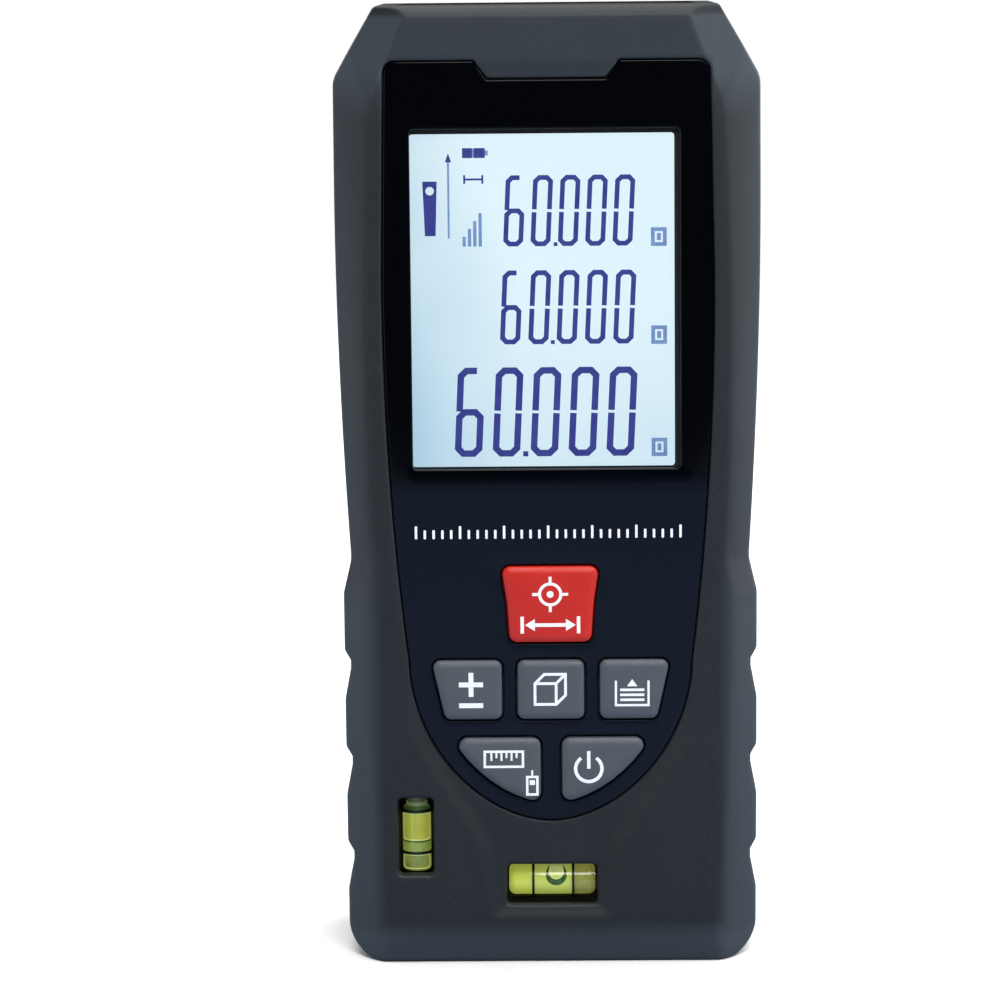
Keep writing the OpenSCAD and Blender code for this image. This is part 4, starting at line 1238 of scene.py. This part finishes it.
def foam_finish():
    """Dark open-celled foam."""
    n = Nodes("open_foam")
    pores = n.cells(0.6).outputs["Distance"]
    n.set(Base_Color=n.mix(pores, srgb(40, 40, 44), srgb(72, 72, 78)), Roughness=0.95,
          Normal=n.bump(pores, 0.25))
    return n.material


def lens_finish():
    """Coated glass over a dark bore, with the violet-green cast of the coating."""
    n = Nodes("coated_glass")
    facing = n.add("LayerWeight", Blend=0.4).outputs["Facing"]
    n.set(Base_Color=n.mix(facing, srgb(20, 22, 44), srgb(58, 30, 92)),
          Roughness=n.vary(n.noise(20.0, detail=1.0), 0.03, 0.06),
          Coat_Weight=1.0, Coat_Roughness=0.02, Alpha=0.8)
    return n.material


def screen_finish():
    """The lit display: pale blue-white, bluer and dimmer towards its lower left corner."""
    n = Nodes("lit_display")
    across = n.span(n.axis("X"), -17, -3, 0.0, 0.7)
    up = n.span(n.axis("Z"), 66, 100, 0.0, 0.6)
    share = n.math("ADD", across, up)
    cloud = n.vary(n.noise(14.0, detail=1.0), 0.0, 0.35)
    tone = n.mix(cloud, n.mix(share, srgb(156, 189, 209), srgb(215, 232, 239)), srgb(218, 233, 240))
    n.set(Base_Color=srgb(60, 66, 70), Roughness=0.35, Emission_Color=tone, Emission_Strength=1.12)
    return n.material


def finishes():
    """The material of each slot of the record."""
    return {
        "housing": shell_material,
        "gasket": plain("gasket_rubber", (20, 20, 20), 0.8, grain=0.3),
        "fascia": plain("satin_black", (10, 11, 14), 0.5, grain=0.3, depth=0.004, mottle=0.06,
                        specular=0.18),
        "clear_pane": clear_finish("clear_pane", (0.97, 0.985, 0.99, 1)),
        "lcd": screen_finish(),
        "backlight": plain("light_guide", (236, 240, 244), 0.4),
        "white_plastic": plain("white_moulding", (214, 214, 208), 0.45, grain=0.3),
        "zebra": plain("zebra_rubber", (216, 118, 134), 0.7),
        "measure_key": plain("red_key", (214, 35, 20), 0.42, grain=0.3, depth=0.006, mottle=0.05,
                             patch=4.0),
        "grey_key": plain("grey_key", (84, 90, 96), 0.46, grain=0.25, depth=0.008, mottle=0.05,
                          patch=4.0),
        "silicone": plain("silicone_mat", (140, 142, 145), 0.65),
        "spring_steel": plain("nickel_plate", (190, 190, 188), 0.28, metal=1.0, grain=0.6, depth=0.004),
        "circuit_board": board_finish(),
        "chip": plain("chip_resin", (26, 26, 28), 0.55, grain=0.15),
        "screw": plain("black_zinc", (92, 92, 96), 0.35, metal=1.0, grain=0.4),
        "chassis": plain("matt_chassis", (24, 24, 26), 0.75, grain=0.25, depth=0.015),
        "optical_glass": lens_finish(),
        "brass": plain("turned_brass", (201, 168, 96), 0.3, metal=1.0, grain=0.5, depth=0.004, mottle=0.06),
        "sensor_can": plain("drawn_can", (198, 198, 200), 0.3, metal=1.0, grain=0.6, depth=0.004),
        "ribbon": plain("polyimide", (196, 116, 34), 0.3, grain=0.8),
        "cell_jacket": cell_finish(),
        "foam": foam_finish(),
        "vial": clear_finish("acrylic", (0.93, 0.95, 0.86, 1), 0.03),
        # Painted glow on the liquid of the vials
        "vial_fluid": glowing("liquid", (178, 192, 62), (160, 172, 48), 0.3),
        "vial_ring": plain("line_ink", (16, 18, 12), 0.5),
        "vial_holder": plain("vial_bed", (26, 30, 22), 0.6, grain=0.3),
    }


# Width of the softened edges, and the nodes that have them
SOFT_EDGES = {
    0.06: ["board_chips"],
    0.08: ["main_board", "lens_ring"],
    0.1: ["optics_screws", "board_screws", "laser_barrel", "bridge_contact", "terminal_contacts"],
    0.12: ["end_plate", "case_screws", "lcd_frame"],
    0.2: ["horizontal_vial_holder", "vertical_vial_holder", "buzzer"],
    0.25: ["optics_frame"],
    0.3: ["door_foam"],
    0.35: ["left_battery", "right_battery"],
}


def dress_nodes(table):
    """Gives each CAD node its finish and softens its edges."""
    soft_edges = {name: width for width, names in SOFT_EDGES.items() for name in names}
    for name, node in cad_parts.items():
        for slot in node.material_slots:
            slot.material = table[slot.material.name.split(".")[0]]
        weld = node.modifiers.new("weld", "WELD")
        weld.merge_threshold = 0.003 * MM
        if name in soft_edges:
            bevel = node.modifiers.new("edges", "BEVEL")
            bevel.width = soft_edges[name] * MM
            bevel.segments = 2
            bevel.limit_method = "ANGLE"
            bevel.angle_limit = math.radians(40)


# ---- Stage ----

# Lengths here are in metres, but for the lens, and angles in degrees
LENS_MM = 134.3
CAMERA_AT = (0, -0.464, 0.124)
CAMERA_DOWN, CAMERA_ROLL, CAMERA_LEFT = 8.32, 0.53, 0.69
FLOOR_FRONT, FLOOR_REACH = -0.44, 40.0
FLOOR_SEEN = (252, 252, 252), (254, 254, 254)
FLOOR_BOUNCE = (150, 164, 182)
WORLD_LIGHT = (0.05, 0.052, 0.055, 1)
SKY, SKY_SPREAD, SKY_TILT = 3.1, 70, (-8, 6, 0)
AIM = (0, 0, 0.06)
# Each soft light that points at AIM: name, place, size, watts
LIGHTS = [
    ("right", (0.3, -0.03, 0.03), 0.2, 0.27),
    ("left", (-0.3, -0.03, 0.02), 0.2, 0.25),
    ("right_far", (0.7, -0.12, 0.12), 0.5, 0.4),
    ("front", (0.06, -0.33, 0.36), 0.2, 1.0),
    ("upper", (0.35, -0.22, 0.42), 0.2, 0.8),
    ("low_left", (-0.45, -0.6, 0.08), 0.25, 0.4),
    ("back_left", (-0.35, 0.55, 0.4), 0.4, 1.9),
    ("back_right", (0.45, 0.5, 0.25), 0.4, 1.25),
]


def light(name, place, size, power):
    data = bpy.data.lights.new(name, "AREA")
    data.energy = power
    data.size = size
    lamp = bpy.data.objects.new(name, data)
    lamp.location = place
    lamp.rotation_euler = (Vector(AIM) - Vector(place)).to_track_quat("-Z", "Y").to_euler()
    lamp.visible_camera = False
    bpy.context.scene.collection.objects.link(lamp)


def stage():
    """The camera, a pale floor and studio, and soft lights."""
    scene = bpy.context.scene
    data = bpy.data.cameras.new("camera")
    data.sensor_width = 36
    data.lens = LENS_MM
    data.clip_start = 0.01
    camera = bpy.data.objects.new("camera", data)
    camera.location = CAMERA_AT
    camera.rotation_euler = [math.radians(a) for a in (90 - CAMERA_DOWN, CAMERA_ROLL, CAMERA_LEFT)]
    scene.collection.objects.link(camera)
    scene.camera = camera
    scene.view_settings.view_transform = "Standard"

    mesh = bpy.data.meshes.new("floor")
    corners = [(-1, FLOOR_FRONT), (1, FLOOR_FRONT), (1, FLOOR_REACH), (-1, FLOOR_REACH)]
    mesh.from_pydata([(side * FLOOR_REACH, y, 0) for side, y in corners], [], [(0, 1, 2, 3)])
    floor = bpy.data.objects.new("floor", mesh)
    scene.collection.objects.link(floor)
    n = Nodes("pale_floor")
    pale = n.mix(n.noise(400.0), *[srgb(*tone) for tone in FLOOR_SEEN])
    seen = n.add("LightPath").outputs["Is Camera Ray"]
    n.set(Base_Color=n.mix(seen, srgb(*FLOOR_BOUNCE), pale), Roughness=0.7, Specular_IOR_Level=0.0)
    mesh.materials.append(n.material)

    world = bpy.data.worlds.new("studio")
    scene.world = world
    world.use_nodes = True
    tree = world.node_tree
    back = tree.nodes["Background"]
    ray = tree.nodes.new("ShaderNodeLightPath")
    mix = tree.nodes.new("ShaderNodeMix")
    mix.data_type = "RGBA"
    mix.inputs[6].default_value = WORLD_LIGHT
    mix.inputs[7].default_value = (1, 1, 1, 1)
    tree.links.new(ray.outputs["Is Camera Ray"], mix.inputs[0])
    tree.links.new(mix.outputs[2], back.inputs["Color"])

    sky = bpy.data.lights.new("sky", "SUN")
    sky.energy = SKY
    sky.angle = math.radians(SKY_SPREAD)
    sun = bpy.data.objects.new("sky", sky)
    sun.rotation_euler = [math.radians(a) for a in SKY_TILT]
    scene.collection.objects.link(sun)
    for row in LIGHTS:
        light(*row)


stage()
front_shell()
rear_shell()
door()
fascia()
table = finishes()
dress_nodes(table)
tops = {}
for key_name in KEYS:
    finish = "measure_key" if key_name == "measure_key" else "grey_key"
    tops[key_name] = key(key_name, table[finish], finish)
scale_marks()
pictograms(tops)
display(table["lcd"])
tubes()
vial_marks()
tripod_bush(table["brass"])
